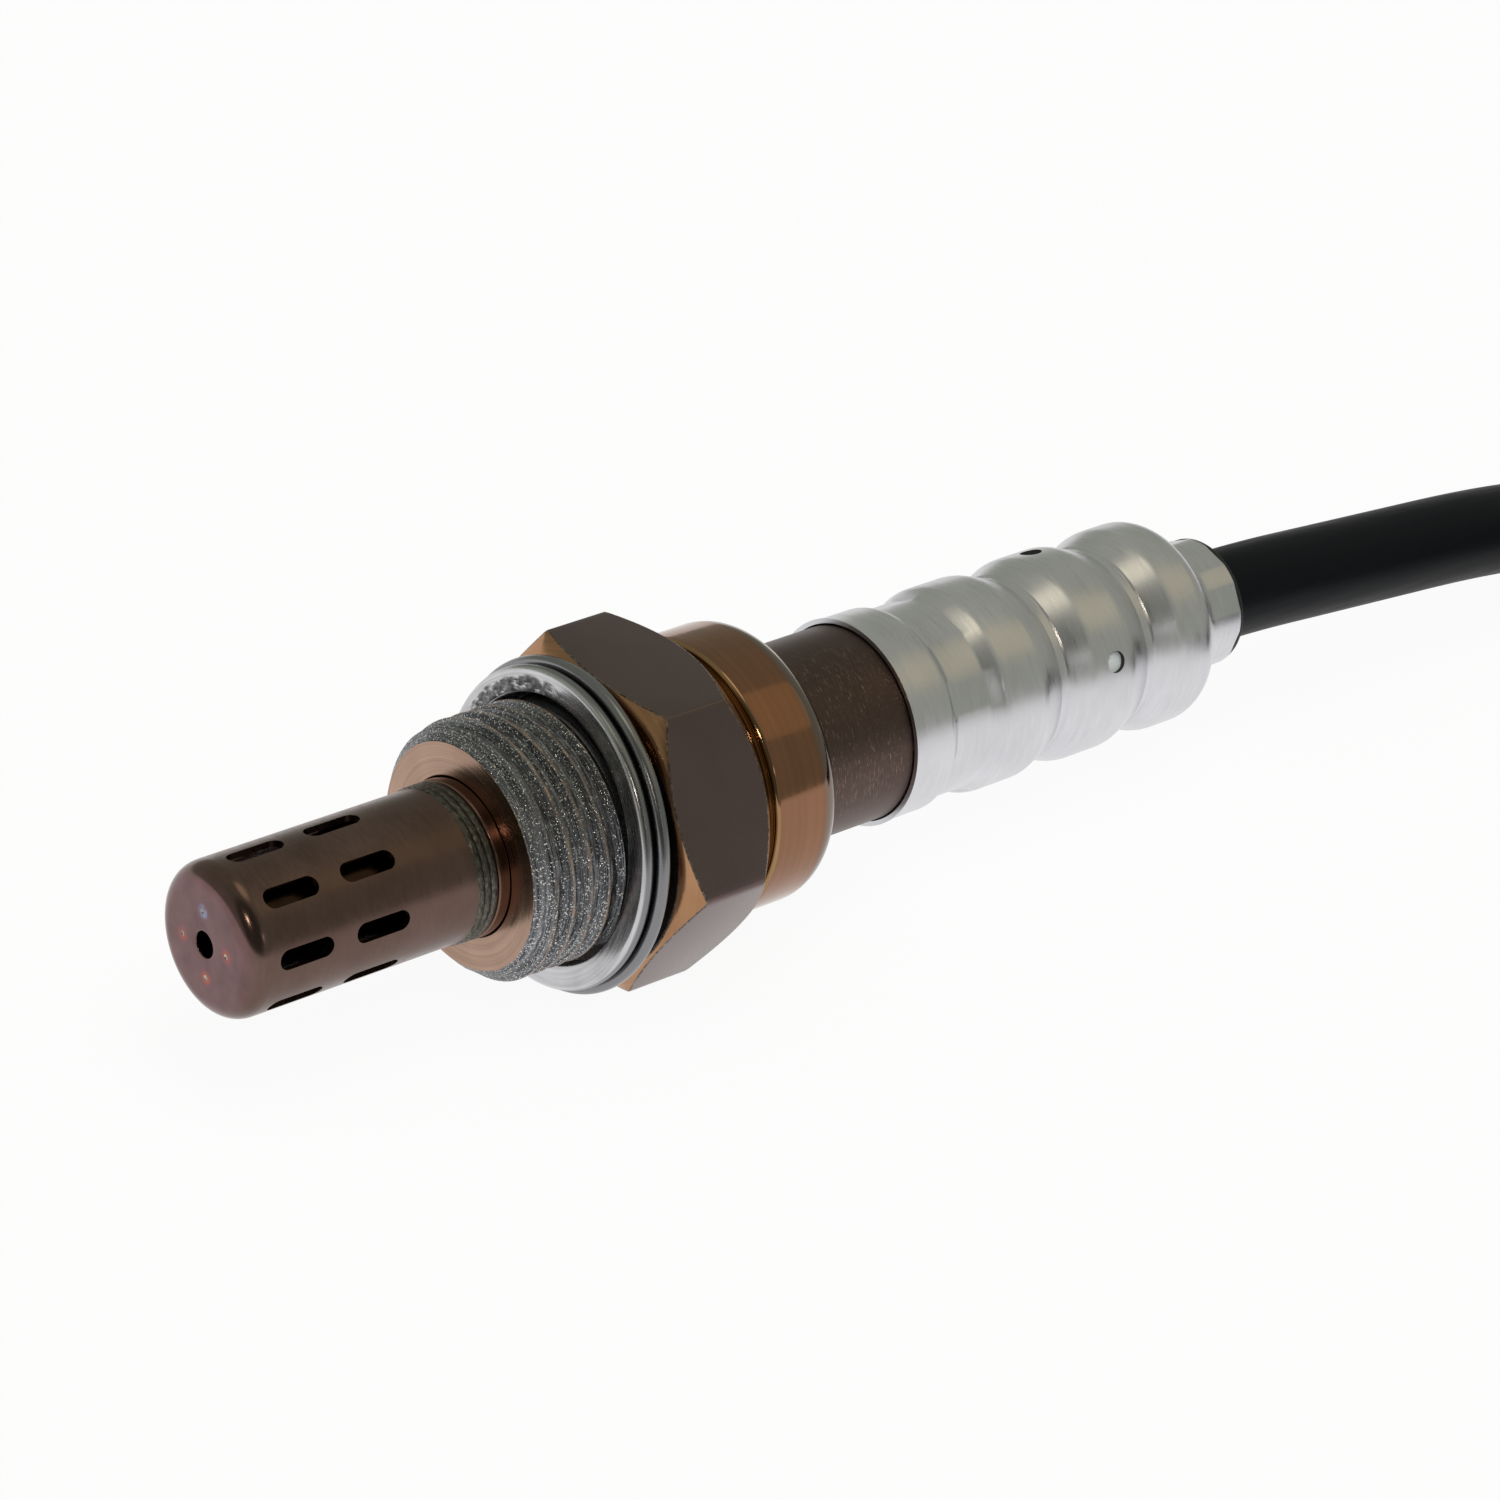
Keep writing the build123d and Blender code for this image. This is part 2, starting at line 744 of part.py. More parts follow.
def make_housing():
    skirt_size = plug_size - 2 * skirt_wall
    housing = block(plug_front, housing_rear, 0, 0, plug_size, plug_size, edge_round)
    housing -= block(seal_front, housing_rear, 0, 0, seal_size, seal_size, edge_round)
    tower = block(tower_front, skirt_rear, 0, 0, tower_size, tower_size)
    housing -= block(plug_front, skirt_rear, 0, 0, skirt_size, skirt_size, edge_round) - tower
    for y, z in terminal_places:
        housing -= block(plug_front, seal_front, y, z, terminal_size + loose, terminal_size + loose)
    arm_rear = plug_front + latch_length
    arm_middle = plug_size / 2 + latch_gap + latch_thickness / 2
    arm = block(plug_front, arm_rear, 0, arm_middle, latch_width, latch_thickness, latch_round)
    root_front = plug_front + latch_length * latch_root_share
    root_height = latch_gap + 2 * wide
    root_middle = plug_size / 2 - wide + root_height / 2
    root_width = latch_width - 2 * latch_round
    root = block(root_front, root_front + latch_root, 0, root_middle, root_width, root_height)
    return housing + root + arm


def make_lock():
    lock = block(tower_front, tower_front - lock_thickness, 0, 0, tower_size, tower_size, lock_round)
    for y, z in terminal_places:
        lock -= block(tower_front, tower_front - lock_thickness, y, z, socket_size, socket_size)
    return lock


def make_ring_seal():
    skirt_size = plug_size - 2 * skirt_wall
    ring = block(skirt_rear, skirt_rear - ring_seal_length, 0, 0, skirt_size, skirt_size, edge_round)
    return ring - block(skirt_rear, skirt_rear - ring_seal_length, 0, 0, tower_size, tower_size)


def make_terminal(y, z):
    front = tower_front
    rear = front + terminal_length
    terminal = block(front, rear, y, z, terminal_size, terminal_size)
    terminal -= block(front, front + terminal_socket, y, z, socket_size, socket_size)
    return terminal - Pos(0, y, z) * tubular(rear - barrel_length, rear, core_radius)


def make_plug_lead(y, z):
    """A wire from the end of the cable, spreading in the boot, to a terminal."""
    start = wire_pitch_radius * cos(radians(45))
    side, height = start * (1 if y > 0 else -1), start * (1 if z > 0 else -1)
    route = [(tail_end, side, height), (tail_end - lead_straight, side, height)]
    route += [(cap_rear + lead_straight, y, z), (cap_rear - lead_straight, y, z)]
    wire = tube(route, wire_radius)
    wire += Pos(0, y, z) * tubular(seal_front, cap_rear - lead_straight, wire_radius)
    terminal_rear = tower_front + terminal_length
    return wire + Pos(0, y, z) * tubular(terminal_rear - barrel_length, seal_front, core_radius)


parts["cable_boot"] = on_tail * make_boot()
parts["connector_cap"] = on_tail * make_cap()
parts["wire_seal"] = on_tail * make_wire_seal()
parts["connector_housing"] = on_tail * make_housing()
parts["terminal_lock"] = on_tail * make_lock()
parts["front_seal"] = on_tail * make_ring_seal()
for number, (y, z) in enumerate(terminal_places, start=1):
    parts[f"connector_terminal_{number}"] = on_tail * make_terminal(y, z)
    parts[f"connector_lead_{number}"] = on_tail * make_plug_lead(y, z)


# one STEP file for each piece -----------------------------------------------------------------

os.makedirs("parts", exist_ok=True)
for name, shape in parts.items():
    export_step(shape, f"parts/{name}.step")

lead_length = sum(dist(a, b) for a, b in zip(lead_route, lead_route[1:]))
coil_length = 3 * pi * coil_radius
print("arc radii", [round(radius, 1) for radius in corner_radii(lead_route)])
lead_volume = pi * cable_radius**2 * lead_length
print("lead volume", round(parts["cable"].volume, 1), "section x length", round(lead_volume, 1))
print("cable length", round(lead_length + coil_length + tail_length, 1), "floor", round(floor_z, 4))
print("plug front", round(plug_front, 3), "tail height", round(tail_z, 4), "pieces", len(parts))
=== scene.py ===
import bpy
import bmesh
from bmesh import ops
from functools import partial
from math import atan2, ceil, cos, degrees, hypot, pi, radians, sin, tan
from mathutils import Matrix, Vector, noise
from types import SimpleNamespace


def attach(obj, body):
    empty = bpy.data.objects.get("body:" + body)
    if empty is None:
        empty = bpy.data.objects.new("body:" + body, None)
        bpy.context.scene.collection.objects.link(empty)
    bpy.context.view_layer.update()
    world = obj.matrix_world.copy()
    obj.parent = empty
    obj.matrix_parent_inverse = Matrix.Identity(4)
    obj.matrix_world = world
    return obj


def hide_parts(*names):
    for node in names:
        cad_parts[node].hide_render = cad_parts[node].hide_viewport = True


# An oxygen sensor on a pale floor. X is the sensor's axis, from the probe's tip to the lead, and the
# origin is the middle of the seat face. Sizes in the dictionaries are millimetres, angles degrees, and a
# look lists what turnedMetal or mouldedFinish takes.

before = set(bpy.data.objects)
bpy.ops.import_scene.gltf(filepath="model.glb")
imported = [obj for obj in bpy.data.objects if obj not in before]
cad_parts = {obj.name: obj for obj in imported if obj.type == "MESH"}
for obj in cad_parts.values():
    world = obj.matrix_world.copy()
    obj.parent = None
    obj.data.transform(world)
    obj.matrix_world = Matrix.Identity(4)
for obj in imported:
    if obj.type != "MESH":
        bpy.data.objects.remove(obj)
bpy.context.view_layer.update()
mm = 0.001
sharpEdge = 32  # an edge that turns by more shows sharp
print("frame loaded:", len(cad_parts), "nodes")


def named(values):
    # lets a piece's values be read as names
    return SimpleNamespace(**values)


def newObject(name, data):
    thing = bpy.data.objects.new(name, data)
    bpy.context.scene.collection.objects.link(thing)
    return thing


# camera and lead

cameraView = {"place": (-218.50, -236.18, 206.53), "turn": (57.926, -7.204, -40.2325), "lens": 136.64}


def makeCamera(s):
    data = bpy.data.cameras.new("camera")
    data.lens = s.lens
    data.sensor_width = 36
    camera = newObject("camera", data)
    camera.location = Vector(s.place) * mm
    camera.rotation_euler = [radians(angle) for angle in s.turn]
    bpy.context.scene.camera = camera


leadSizes = {
    "radius": 3.4,
    "lowZ": -7.4674,  # centre of the lead where it lies on the tie's strap
    "route": ((55.0, 0), (61.5, 0), (74.0, -1.2), (92.5, -2.92), (105.0, -5.9)),  # x and z up to the coil
    "layX": 118.0,  # where it first lies down
    "coilX": 130.0, "coilRadius": 36.0, "coilTurn": 540,
    "stepAngle": 22.5,  # between the coil's points
    "riseFrom": -180.0, "riseTo": -247.5, "tailEnd": 104.0, "neckEnd": 58.7, "length": 436.0,
}


def leadRoute(s):
    # the run to the coil, one and a half turns, the tail
    low, high = s.lowZ, s.lowZ + 2 * s.radius
    route = [(x, 0, z) for x, z in s.route] + [(s.layX, 0, low), (s.coilX, 0, low)]
    wide = s.coilRadius / (0.75 + 0.25 * cos(radians(s.stepAngle)))  # a smooth curve runs inside its points
    for i in range(1, int(s.coilTurn / s.stepAngle)):
        angle = 90 - s.stepAngle * i
        rise = eased(-angle, -s.riseFrom, -s.riseTo)
        x = s.coilX + wide * cos(radians(angle))
        y = -s.coilRadius + wide * sin(radians(angle))
        route.append((x, y, low + (high - low) * rise))
    return route + [(s.coilX, -2 * s.coilRadius, high), (s.tailEnd, -2 * s.coilRadius, high)]


def eased(value, start, end):
    share = min(1, max(0, (value - start) / (end - start)))
    return share * share * (3 - 2 * share)


def makeLead(s):
    curve = bpy.data.curves.new("lead", "CURVE")
    curve.dimensions = "3D"
    curve.bevel_depth = 1.0  # the points' own radius gives the lead's thickness
    curve.bevel_resolution = 14
    curve.resolution_u = 16
    curve.use_fill_caps = True
    spline = curve.splines.new("NURBS")
    route = leadRoute(s)
    spline.points.add(len(route) - 1)
    for point, place in zip(spline.points, route):
        point.co = (*(part * mm for part in place), 1)
        point.radius = s.radius * mm
    spline.order_u = 3
    spline.use_endpoint_u = True
    lead = newObject("lead", curve)
    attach(lead, "root")
    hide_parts("cable", "cable_coil", "cable_tail")
    return lead


makeCamera(named(cameraView))
lead = makeLead(named(leadSizes))
print("camera and lead made")


# shaping tools

def outlineWire(points, closed=True, arcStep=9):
    # a wire of (x, r) or (x, r, rounding) points, its corners rounded by a vertex bevel
    wire = bmesh.new()
    corners = [wire.verts.new((point[0] * mm, 0, point[1] * mm)) for point in points]
    runs = list(zip(corners, corners[1:])) + ([(corners[-1], corners[0])] if closed else [])
    for run in runs:
        wire.edges.new(run)
    places = [corner.co.copy() for corner in corners]
    for i, point in enumerate(points):
        if len(point) < 3:
            continue
        turn = (places[i] - places[i - 1]).angle(places[(i + 1) % len(places)] - places[i])
        width = {"offset": point[2] * mm * tan(turn / 2), "offset_type": "OFFSET", "profile": 0.5}
        segments = max(2, ceil(degrees(turn) / arcStep))
        ops.bevel(wire, geom=[corners[i]], segments=segments, affect="VERTICES", material=-1, **width)
    return wire


def welded(shape):
    # joins the verts that meet and turns the faces outwards
    ops.remove_doubles(shape, verts=shape.verts, dist=0.002 * mm)
    ops.recalc_face_normals(shape, faces=shape.faces)
    return shape


def spinShape(wire, steps):
    around = {"cent": (0, 0, 0), "axis": (1, 0, 0), "angle": 2 * pi, "steps": steps, "use_merge": True}
    ops.spin(wire, geom=wire.verts[:] + wire.edges[:], **around)
    return welded(wire)


def turned(points, steps=192):
    return spinShape(outlineWire(points), steps)


def join(shape, other):
    # adds one mesh to another, and frees the second
    spare = bpy.data.meshes.new("spare")
    other.to_mesh(spare)
    other.free()
    shape.from_mesh(spare)
    bpy.data.meshes.remove(spare)


def meshObject(shape, name, sharpAngle=sharpEdge):
    mesh = bpy.data.meshes.new(name)
    shape.to_mesh(mesh)
    shape.free()
    mesh.shade_smooth()
    mesh.set_sharp_from_angle(angle=radians(sharpAngle))
    return newObject(name, mesh)


def addPiece(shape, name, cadNodes, finishes, sharpAngle=sharpEdge):
    piece = meshObject(shape, name, sharpAngle)
    for finish in finishes:
        piece.data.materials.append(finish)
    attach(piece, "root")
    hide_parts(*cadNodes)
    return piece


def cutAway(piece, cutter):
    # takes the cutter's shape out of a piece
    tool = meshObject(cutter, "cutter")
    cut = piece.modifiers.new("cut", "BOOLEAN")
    cut.operation = "DIFFERENCE"
    cut.solver = "EXACT"
    cut.object = tool
    bpy.context.view_layer.update()
    cleanCut = bpy.data.meshes.new_from_object(piece.evaluated_get(bpy.context.evaluated_depsgraph_get()))
    piece.modifiers.clear()
    piece.data = cleanCut
    bpy.data.objects.remove(tool)
    piece.data.set_sharp_from_angle(angle=radians(sharpEdge))


def roundEdges(shape, edges, width):
    rounding = {"offset": width * mm, "offset_type": "OFFSET", "clamp_overlap": True}
    ops.bevel(shape, geom=edges, segments=3, profile=0.5, affect="EDGES", material=-1, **rounding)


def softenEdges(piece, width, angle=35):
    bevel = piece.modifiers.new("edges", "BEVEL")
    bevel.width = width * mm
    bevel.segments = 2
    bevel.limit_method = "ANGLE"
    bevel.angle_limit = radians(angle)
    bevel.harden_normals = True


def placeOf(point):
    # x and the distance from the axis, in millimetres
    return point.x / mm, hypot(point.y, point.z) / mm


def paint(piece, tests):
    # gives each face the first finish whose test it passes, by its middle's x and r and its normal
    for face in piece.data.polygons:
        face.material_index = tests(*placeOf(face.center), face.normal).index(True)


def angleFromSide(y, z):
    # from -Y through +Z
    return degrees(atan2(z, -y))


def atSide(shape, angle):
    # turns a shape that stands on the axis at +Z to an angle from -Y through +Z
    turn = Matrix.Rotation(radians(90 - angle), 3, "X")
    ops.rotate(shape, verts=shape.verts, cent=(0, 0, 0), matrix=turn)
    return shape


def only(kind, items):
    return [item for item in items if isinstance(item, kind)]


def extruded(shape, vec):
    # gives a flat shape a thickness
    made = ops.extrude_face_region(shape, geom=shape.faces[:])["geom"]
    ops.translate(shape, verts=only(bmesh.types.BMVert, made), vec=vec)


def roundBar(length, width, low, high, x):
    # a round-ended bar across a wall, along X
    bar = bmesh.new()
    ops.create_circle(bar, cap_ends=True, segments=36, radius=width / 2 * mm)
    reach = (length - width) / 2 * mm
    for vert in bar.verts:
        vert.co.x += x * mm + (reach if vert.co.x > 0 else -reach)
        vert.co.z = low * mm
    extruded(bar, (0, 0, (high - low) * mm))
    ops.recalc_face_normals(bar, faces=bar.faces)
    return bar


def moveUp(shape, verts, high):
    ops.translate(shape, verts=verts, vec=(0, 0, high))


# finishing tools

def linearColour(hexCode):
    channels = [int(hexCode[i : i + 2], 16) / 255 for i in (1, 3, 5)]
    return [c / 12.92 if c <= 0.04045 else ((c + 0.055) / 1.055) ** 2.4 for c in channels] + [1]


def newMaterial(name, metallic=0.0, roughness=0.5, specular=0.5):
    material = bpy.data.materials.new(name)
    material.use_nodes = True
    shader = material.node_tree.nodes["Principled BSDF"]
    shader.inputs["Metallic"].default_value = metallic
    shader.inputs["Roughness"].default_value = roughness
    shader.inputs["Specular IOR Level"].default_value = specular
    return material


def addNode(material, kind, inputs=None, output=0, **settings):
    # adds a node with its settings, fed by values, hex colours or other nodes' outputs, and gives an
    # output. A map range takes its value at 0, the limits at 1 and 2 and the new limits at 3 and 4
    tree = material.node_tree
    node = tree.nodes.new("ShaderNode" + kind)
    for name, value in settings.items():
        setattr(node, name, value)
    for name, value in (inputs or {}).items():
        if isinstance(value, bpy.types.NodeSocket):
            tree.links.new(value, node.inputs[name])
        else:
            node.inputs[name].default_value = linearColour(value) if isinstance(value, str) else value
    return node.outputs[output]


# the settings of a node that multiplies, and of a mix of colours
times = {"operation": "MULTIPLY"}
inColour = {"data_type": "RGBA", "output": 2}


def tinted(share, low, high):
    # what a colour mix takes
    return {0: share, 6: low, 7: high}


def finishWith(material, colour=None, roughness=None, height=None, depth=0.0, normal=None):
    # links a finish to the shader: a colour or (share, tint, tint), a roughness or (value, low, high), and
    # a bump height with its depth in millimetres, or a normal
    add = partial(addNode, material)
    if isinstance(colour, tuple):
        colour = add("Mix", tinted(*colour), **inColour)
    if isinstance(roughness, tuple):
        roughness = add("MapRange", dict(zip((0, 3, 4), roughness)))
    if height:
        normal = add("Bump", {"Height": height, "Distance": depth * mm, "Strength": 1.0})
    shader = material.node_tree.nodes["Principled BSDF"]
    for name, socket in (("Base Color", colour), ("Roughness", roughness), ("Normal", normal)):
        if socket:
            material.node_tree.links.new(socket, shader.inputs[name])


def linkedTo(material, socketName):
    # what a finish's shader reads at one of its sockets, so that a finish can build on another
    return material.node_tree.nodes["Principled BSDF"].inputs[socketName].links[0].from_socket


def specks(material, size, detail=2.0, stretch=(1, 1, 1)):
    # cloudy noise of a size in millimetres, evened out from 0 to 1
    add = partial(addNode, material)
    scale = [1 / (size * mm * part) for part in stretch]
    place = add("Mapping", {"Vector": add("TexCoord", output="Object"), "Scale": scale})
    spots = add("TexNoise", {"Vector": place, "Scale": 1.0, "Detail": detail})
    return add("MapRange", {0: spots, 1: 0.3, 2: 0.7})


def axisDistance(add, place):
    across = add("VectorMath", {0: place, 1: (0, 1, 1)}, **times)
    return add("VectorMath", {0: across}, "Value", operation="LENGTH")


def turningLines(material, width, length):
    # fine lines round the axis, on tubes, cones and faces alike, from 0 to 1
    add = partial(addNode, material)
    place = add("TexCoord", output="Object")
    parts = add("SeparateXYZ", {0: place}).node.outputs
    alongX = add("Math", {0: parts["X"], 1: 0.8}, **times)
    run = add("Math", {0: axisDistance(add, place), 1: 0.6, 2: alongX}, operation="MULTIPLY_ADD")
    line = add("CombineXYZ", {"X": run, "Y": parts["Y"], "Z": parts["Z"]})
    scale = (1 / (width * mm), 1 / (length * mm), 1 / (length * mm))
    scaled = add("VectorMath", {0: line, 1: scale}, **times)
    lines = add("TexNoise", {"Vector": scaled, "Scale": 1.0, "Detail": 3.0})
    return add("MapRange", {0: lines, 1: 0.3, 2: 0.7})


def turnedMetal(name, tints, cloud, lines, shade, depth, roughness):
    # metal shaped on a lathe or rolled: two tints in clouds of a size, with fine lines round the axis of a
    # width and length, which darken it by a share and cut into it, and a least and most roughness
    material = newMaterial(name, 1.0)
    add = partial(addNode, material)
    lines = turningLines(material, *lines)
    colour = add("Mix", tinted(specks(material, cloud), *tints), **inColour)
    dull = add("MapRange", {0: lines, 3: 1 - shade})
    dull = add("CombineColor", {0: dull, 1: dull, 2: dull})
    colour = add("Mix", tinted(1.0, colour, dull), blend_type="MULTIPLY", **inColour)
    finishWith(material, colour, (lines, *roughness), lines, depth)
    return material


def mouldedFinish(name, tints, grain, roughness, depth, metallic=0.0):
    # a moulded, pressed or fired surface: two near tints, an even grain of a size and depth, and a least and
    # most roughness
    material = newMaterial(name, metallic)
    grains = specks(material, grain, 3.0)
    finishWith(material, (specks(material, grain * 20), *tints), (grains, *roughness), grains, depth)
    return material


print("tools ready")


# sensor body

body = {
    "front": -9.9, "pitch": 1.5, "crest": 9.0, "threadDepth": 0.92,
    "pasteLevel": 8.42,  # how full of paste the thread's valleys are
    "pasteLumps": 0.16, "leadIn": 1.1, "fullThreadEnd": -3.1, "reliefStart": -2.6,
    "packed": 8.62,  # paste that fills the relief
    "seat": 10.7, "coneAngle": 30, "hexAcross": 22.0, "hexCorner": 12.65, "hexRear": 8.86,
    "hexRearRadius": 9.9, "groove": 9.35, "collarFront": 9.35, "collar": 10.0, "lip": 15.5,
    "lipHole": 7.24,
    "lipTinted": (13.5, 13.9),  # where the lip's greyer tint comes in
    # inside: the recess for the tube's flange, the packing's cavity and cone, the throat, the probe's bore
    "recess": (12.0, 13.6, 8.5), "cavity": 6.4, "cone": (-2.0, -4.2), "throat": 4.2, "boreRear": -6.5,
    "bore": 5.55, "edgeWear": 0.09,
    # faced on a lathe, then tinted pink by heat
    "faceLook": (("#aa8b79", "#b79885"), 4, (0.1, 14), 0.26, 0.004, (0.18, 0.3)),
    # heat-tinted turned steel, from brown to copper
    "coneLook": (("#a37a5a", "#b78b67"), 5, (0.2, 12), 0.16, 0.002, (0.11, 0.2)),
    # soot in the bore, and painted shade on the relief's end, on the seat face round it and inside the collar
    "sootLook": (("#2b2624", "#383330"), 0.3, (0.5, 0.7), 0.01, 1.0),
    # drawn hexagon bar, tinted nearly black
    "flatLook": (("#6b5c5a", "#72615f"), 0.3, (0.27, 0.29), 0.0002, 1.0),
    "edgeTints": ("#463d38", "#8c7d71"),
    # ground collar with a brown tint, glossy enough to show the floor's edge
    "collarLook": (("#8b654d", "#946b53"), 6, (0.3, 20), 0.12, 0.0006, (0.1, 0.16)),
    "lipTint": "#7c6d63",
    # the groove before it, formed by a smooth roller and tinted like brass
    "grooveLook": (("#917351", "#a58663"), 5, (0.3, 20), 0.08, 0.0004, (0.07, 0.12)),
    # copper-grey grease with flakes
    "pasteTints": ("#292a2e", "#8d8e92"),
    "pasteRoughness": (0.44, 0.18),
    "smear": (0.11, 6.0),  # width and length
    "barePeaks": "#a68c78", "flake": 0.07, "flakeTint": "#d2d1ce",
    "flakeShare": (0.86, 0.88),  # chances past which a grain of the paste is a flake
    "flakeTilt": 0.7,
}


def threadPaste(s):
    # grey anti-seize paste full of metal flakes, rubbed off along the crests down to tinted steel
    material = newMaterial("flakedThreadPaste", 0.9)
    add = partial(addNode, material)
    place = add("TexCoord", output="Object")
    smears = turningLines(material, *s.smear)
    colour = add("Mix", tinted(smears, *s.pasteTints), **inColour)
    rubbed = {0: axisDistance(add, place), 1: (s.crest - 0.09) * mm, 2: (s.crest - 0.01) * mm}
    bare = add("Math", {0: add("MapRange", rubbed), 1: specks(material, 0.7)}, **times)
    colour = add("Mix", tinted(bare, colour, s.barePeaks), **inColour)
    # the flakes are about 0.05 mm across, and drawn a little coarser so that they show
    flakes = add("TexVoronoi", {"Vector": place, "Scale": 1 / (s.flake * mm)}, "Color")
    chance = add("SeparateColor", {0: flakes})
    glint = add("MapRange", {0: chance, 1: s.flakeShare[0], 2: s.flakeShare[1]})
    colour = add("Mix", tinted(glint, colour, s.flakeTint), **inColour)
    grit = add("Math", {0: specks(material, 0.16, 3.0), 1: 0.5}, **times)
    lumps = add("Math", {0: grit, 1: smears}, operation="ADD")
    finishWith(material, colour, (glint, *s.pasteRoughness), lumps, 0.022)
    # each flake lies at its own tilt, so that a few of them catch a lamp
    tilt = add("VectorMath", {0: flakes, 1: (0.5, 0.5, 0.5)}, operation="SUBTRACT")
    amount = add("Math", {0: glint, 1: s.flakeTilt}, **times)
    tilt = add("VectorMath", {0: tilt, 3: amount}, operation="SCALE")
    tilted = add("VectorMath", {0: linkedTo(material, "Normal"), 1: tilt}, operation="ADD")
    finishWith(material, normal=add("VectorMath", {0: tilted}, operation="NORMALIZE"))
    return material


def wornEdges(s):
    # the hexagon's edges, chipped to bright and dark specks
    material = newMaterial("wornHexagonEdges", 1.0)
    chips = specks(material, 0.3, 4.0)
    finishWith(material, (chips, *s.edgeTints), (chips, 0.45, 0.25), chips, 0.02)
    return material


def collarTint(s):
    # the ground collar, greyer round its rolled lip
    material = turnedMetal("groundCollar", *s.collarLook)
    place = addNode(material, "TexCoord", output="Object")
    along = addNode(material, "SeparateXYZ", {0: place}, "X")
    start, end = s.lipTinted
    lip = addNode(material, "MapRange", {0: along, 1: start * mm, 2: end * mm})
    finishWith(material, (lip, linkedTo(material, "Base Color"), s.lipTint))
    return material


def helixThread(s, steps):
    # one pitch of the thread's outline, swept along its helix and cut off by the ends' slopes
    root, flank = s.crest - s.threadDepth, s.threadDepth * tan(radians(30))
    crestHalf, middle = s.pitch / 16, s.pitch / 2
    points = [
        (0, root), (middle - crestHalf - flank, root, 0.14), (middle - crestHalf, s.crest, 0.08),
        (middle + crestHalf, s.crest, 0.08), (middle + crestHalf + flank, root, 0.14), (s.pitch, root),
    ]
    start = s.front - s.pitch
    thread = outlineWire([(start + point[0], *point[1:]) for point in points], closed=False, arcStep=20)
    longRuns = [edge for edge in thread.edges if edge.calc_length() > 0.2 * mm]
    ops.subdivide_edges(thread, edges=longRuns, cuts=5)
    rise = (s.pitch * mm / steps, 0, 0)
    turn = {"cent": (0, 0, 0), "axis": (1, 0, 0), "dvec": rise, "angle": 2 * pi, "steps": steps}
    ops.spin(thread, geom=thread.verts[:] + thread.edges[:], **turn)
    oneTurn = bpy.data.meshes.new("oneTurn")
    thread.to_mesh(oneTurn)
    for i in range(ceil((s.reliefStart - s.front) / s.pitch)):
        oneTurn.transform(Matrix.Translation((s.pitch * mm, 0, 0)))
        thread.from_mesh(oneTurn)
    bpy.data.meshes.remove(oneTurn)
    slope = (s.crest - s.packed) / (s.reliefStart - s.fullThreadEnd)
    for vert in thread.verts:
        x, r = placeOf(vert.co)
        x = min(max(x, s.front), s.reliefStart)
        lumps = noise.noise(Vector((x * 2.2, vert.co.y / mm, vert.co.z / mm)))
        filled = max(r, s.pasteLevel + s.pasteLumps * lumps)
        limit = min(s.crest - s.leadIn + x - s.front, s.packed + (s.reliefStart - x) * slope)
        scale = min(filled, limit) / r
        vert.co = (x * mm, vert.co.y * scale, vert.co.z * scale)
    return thread


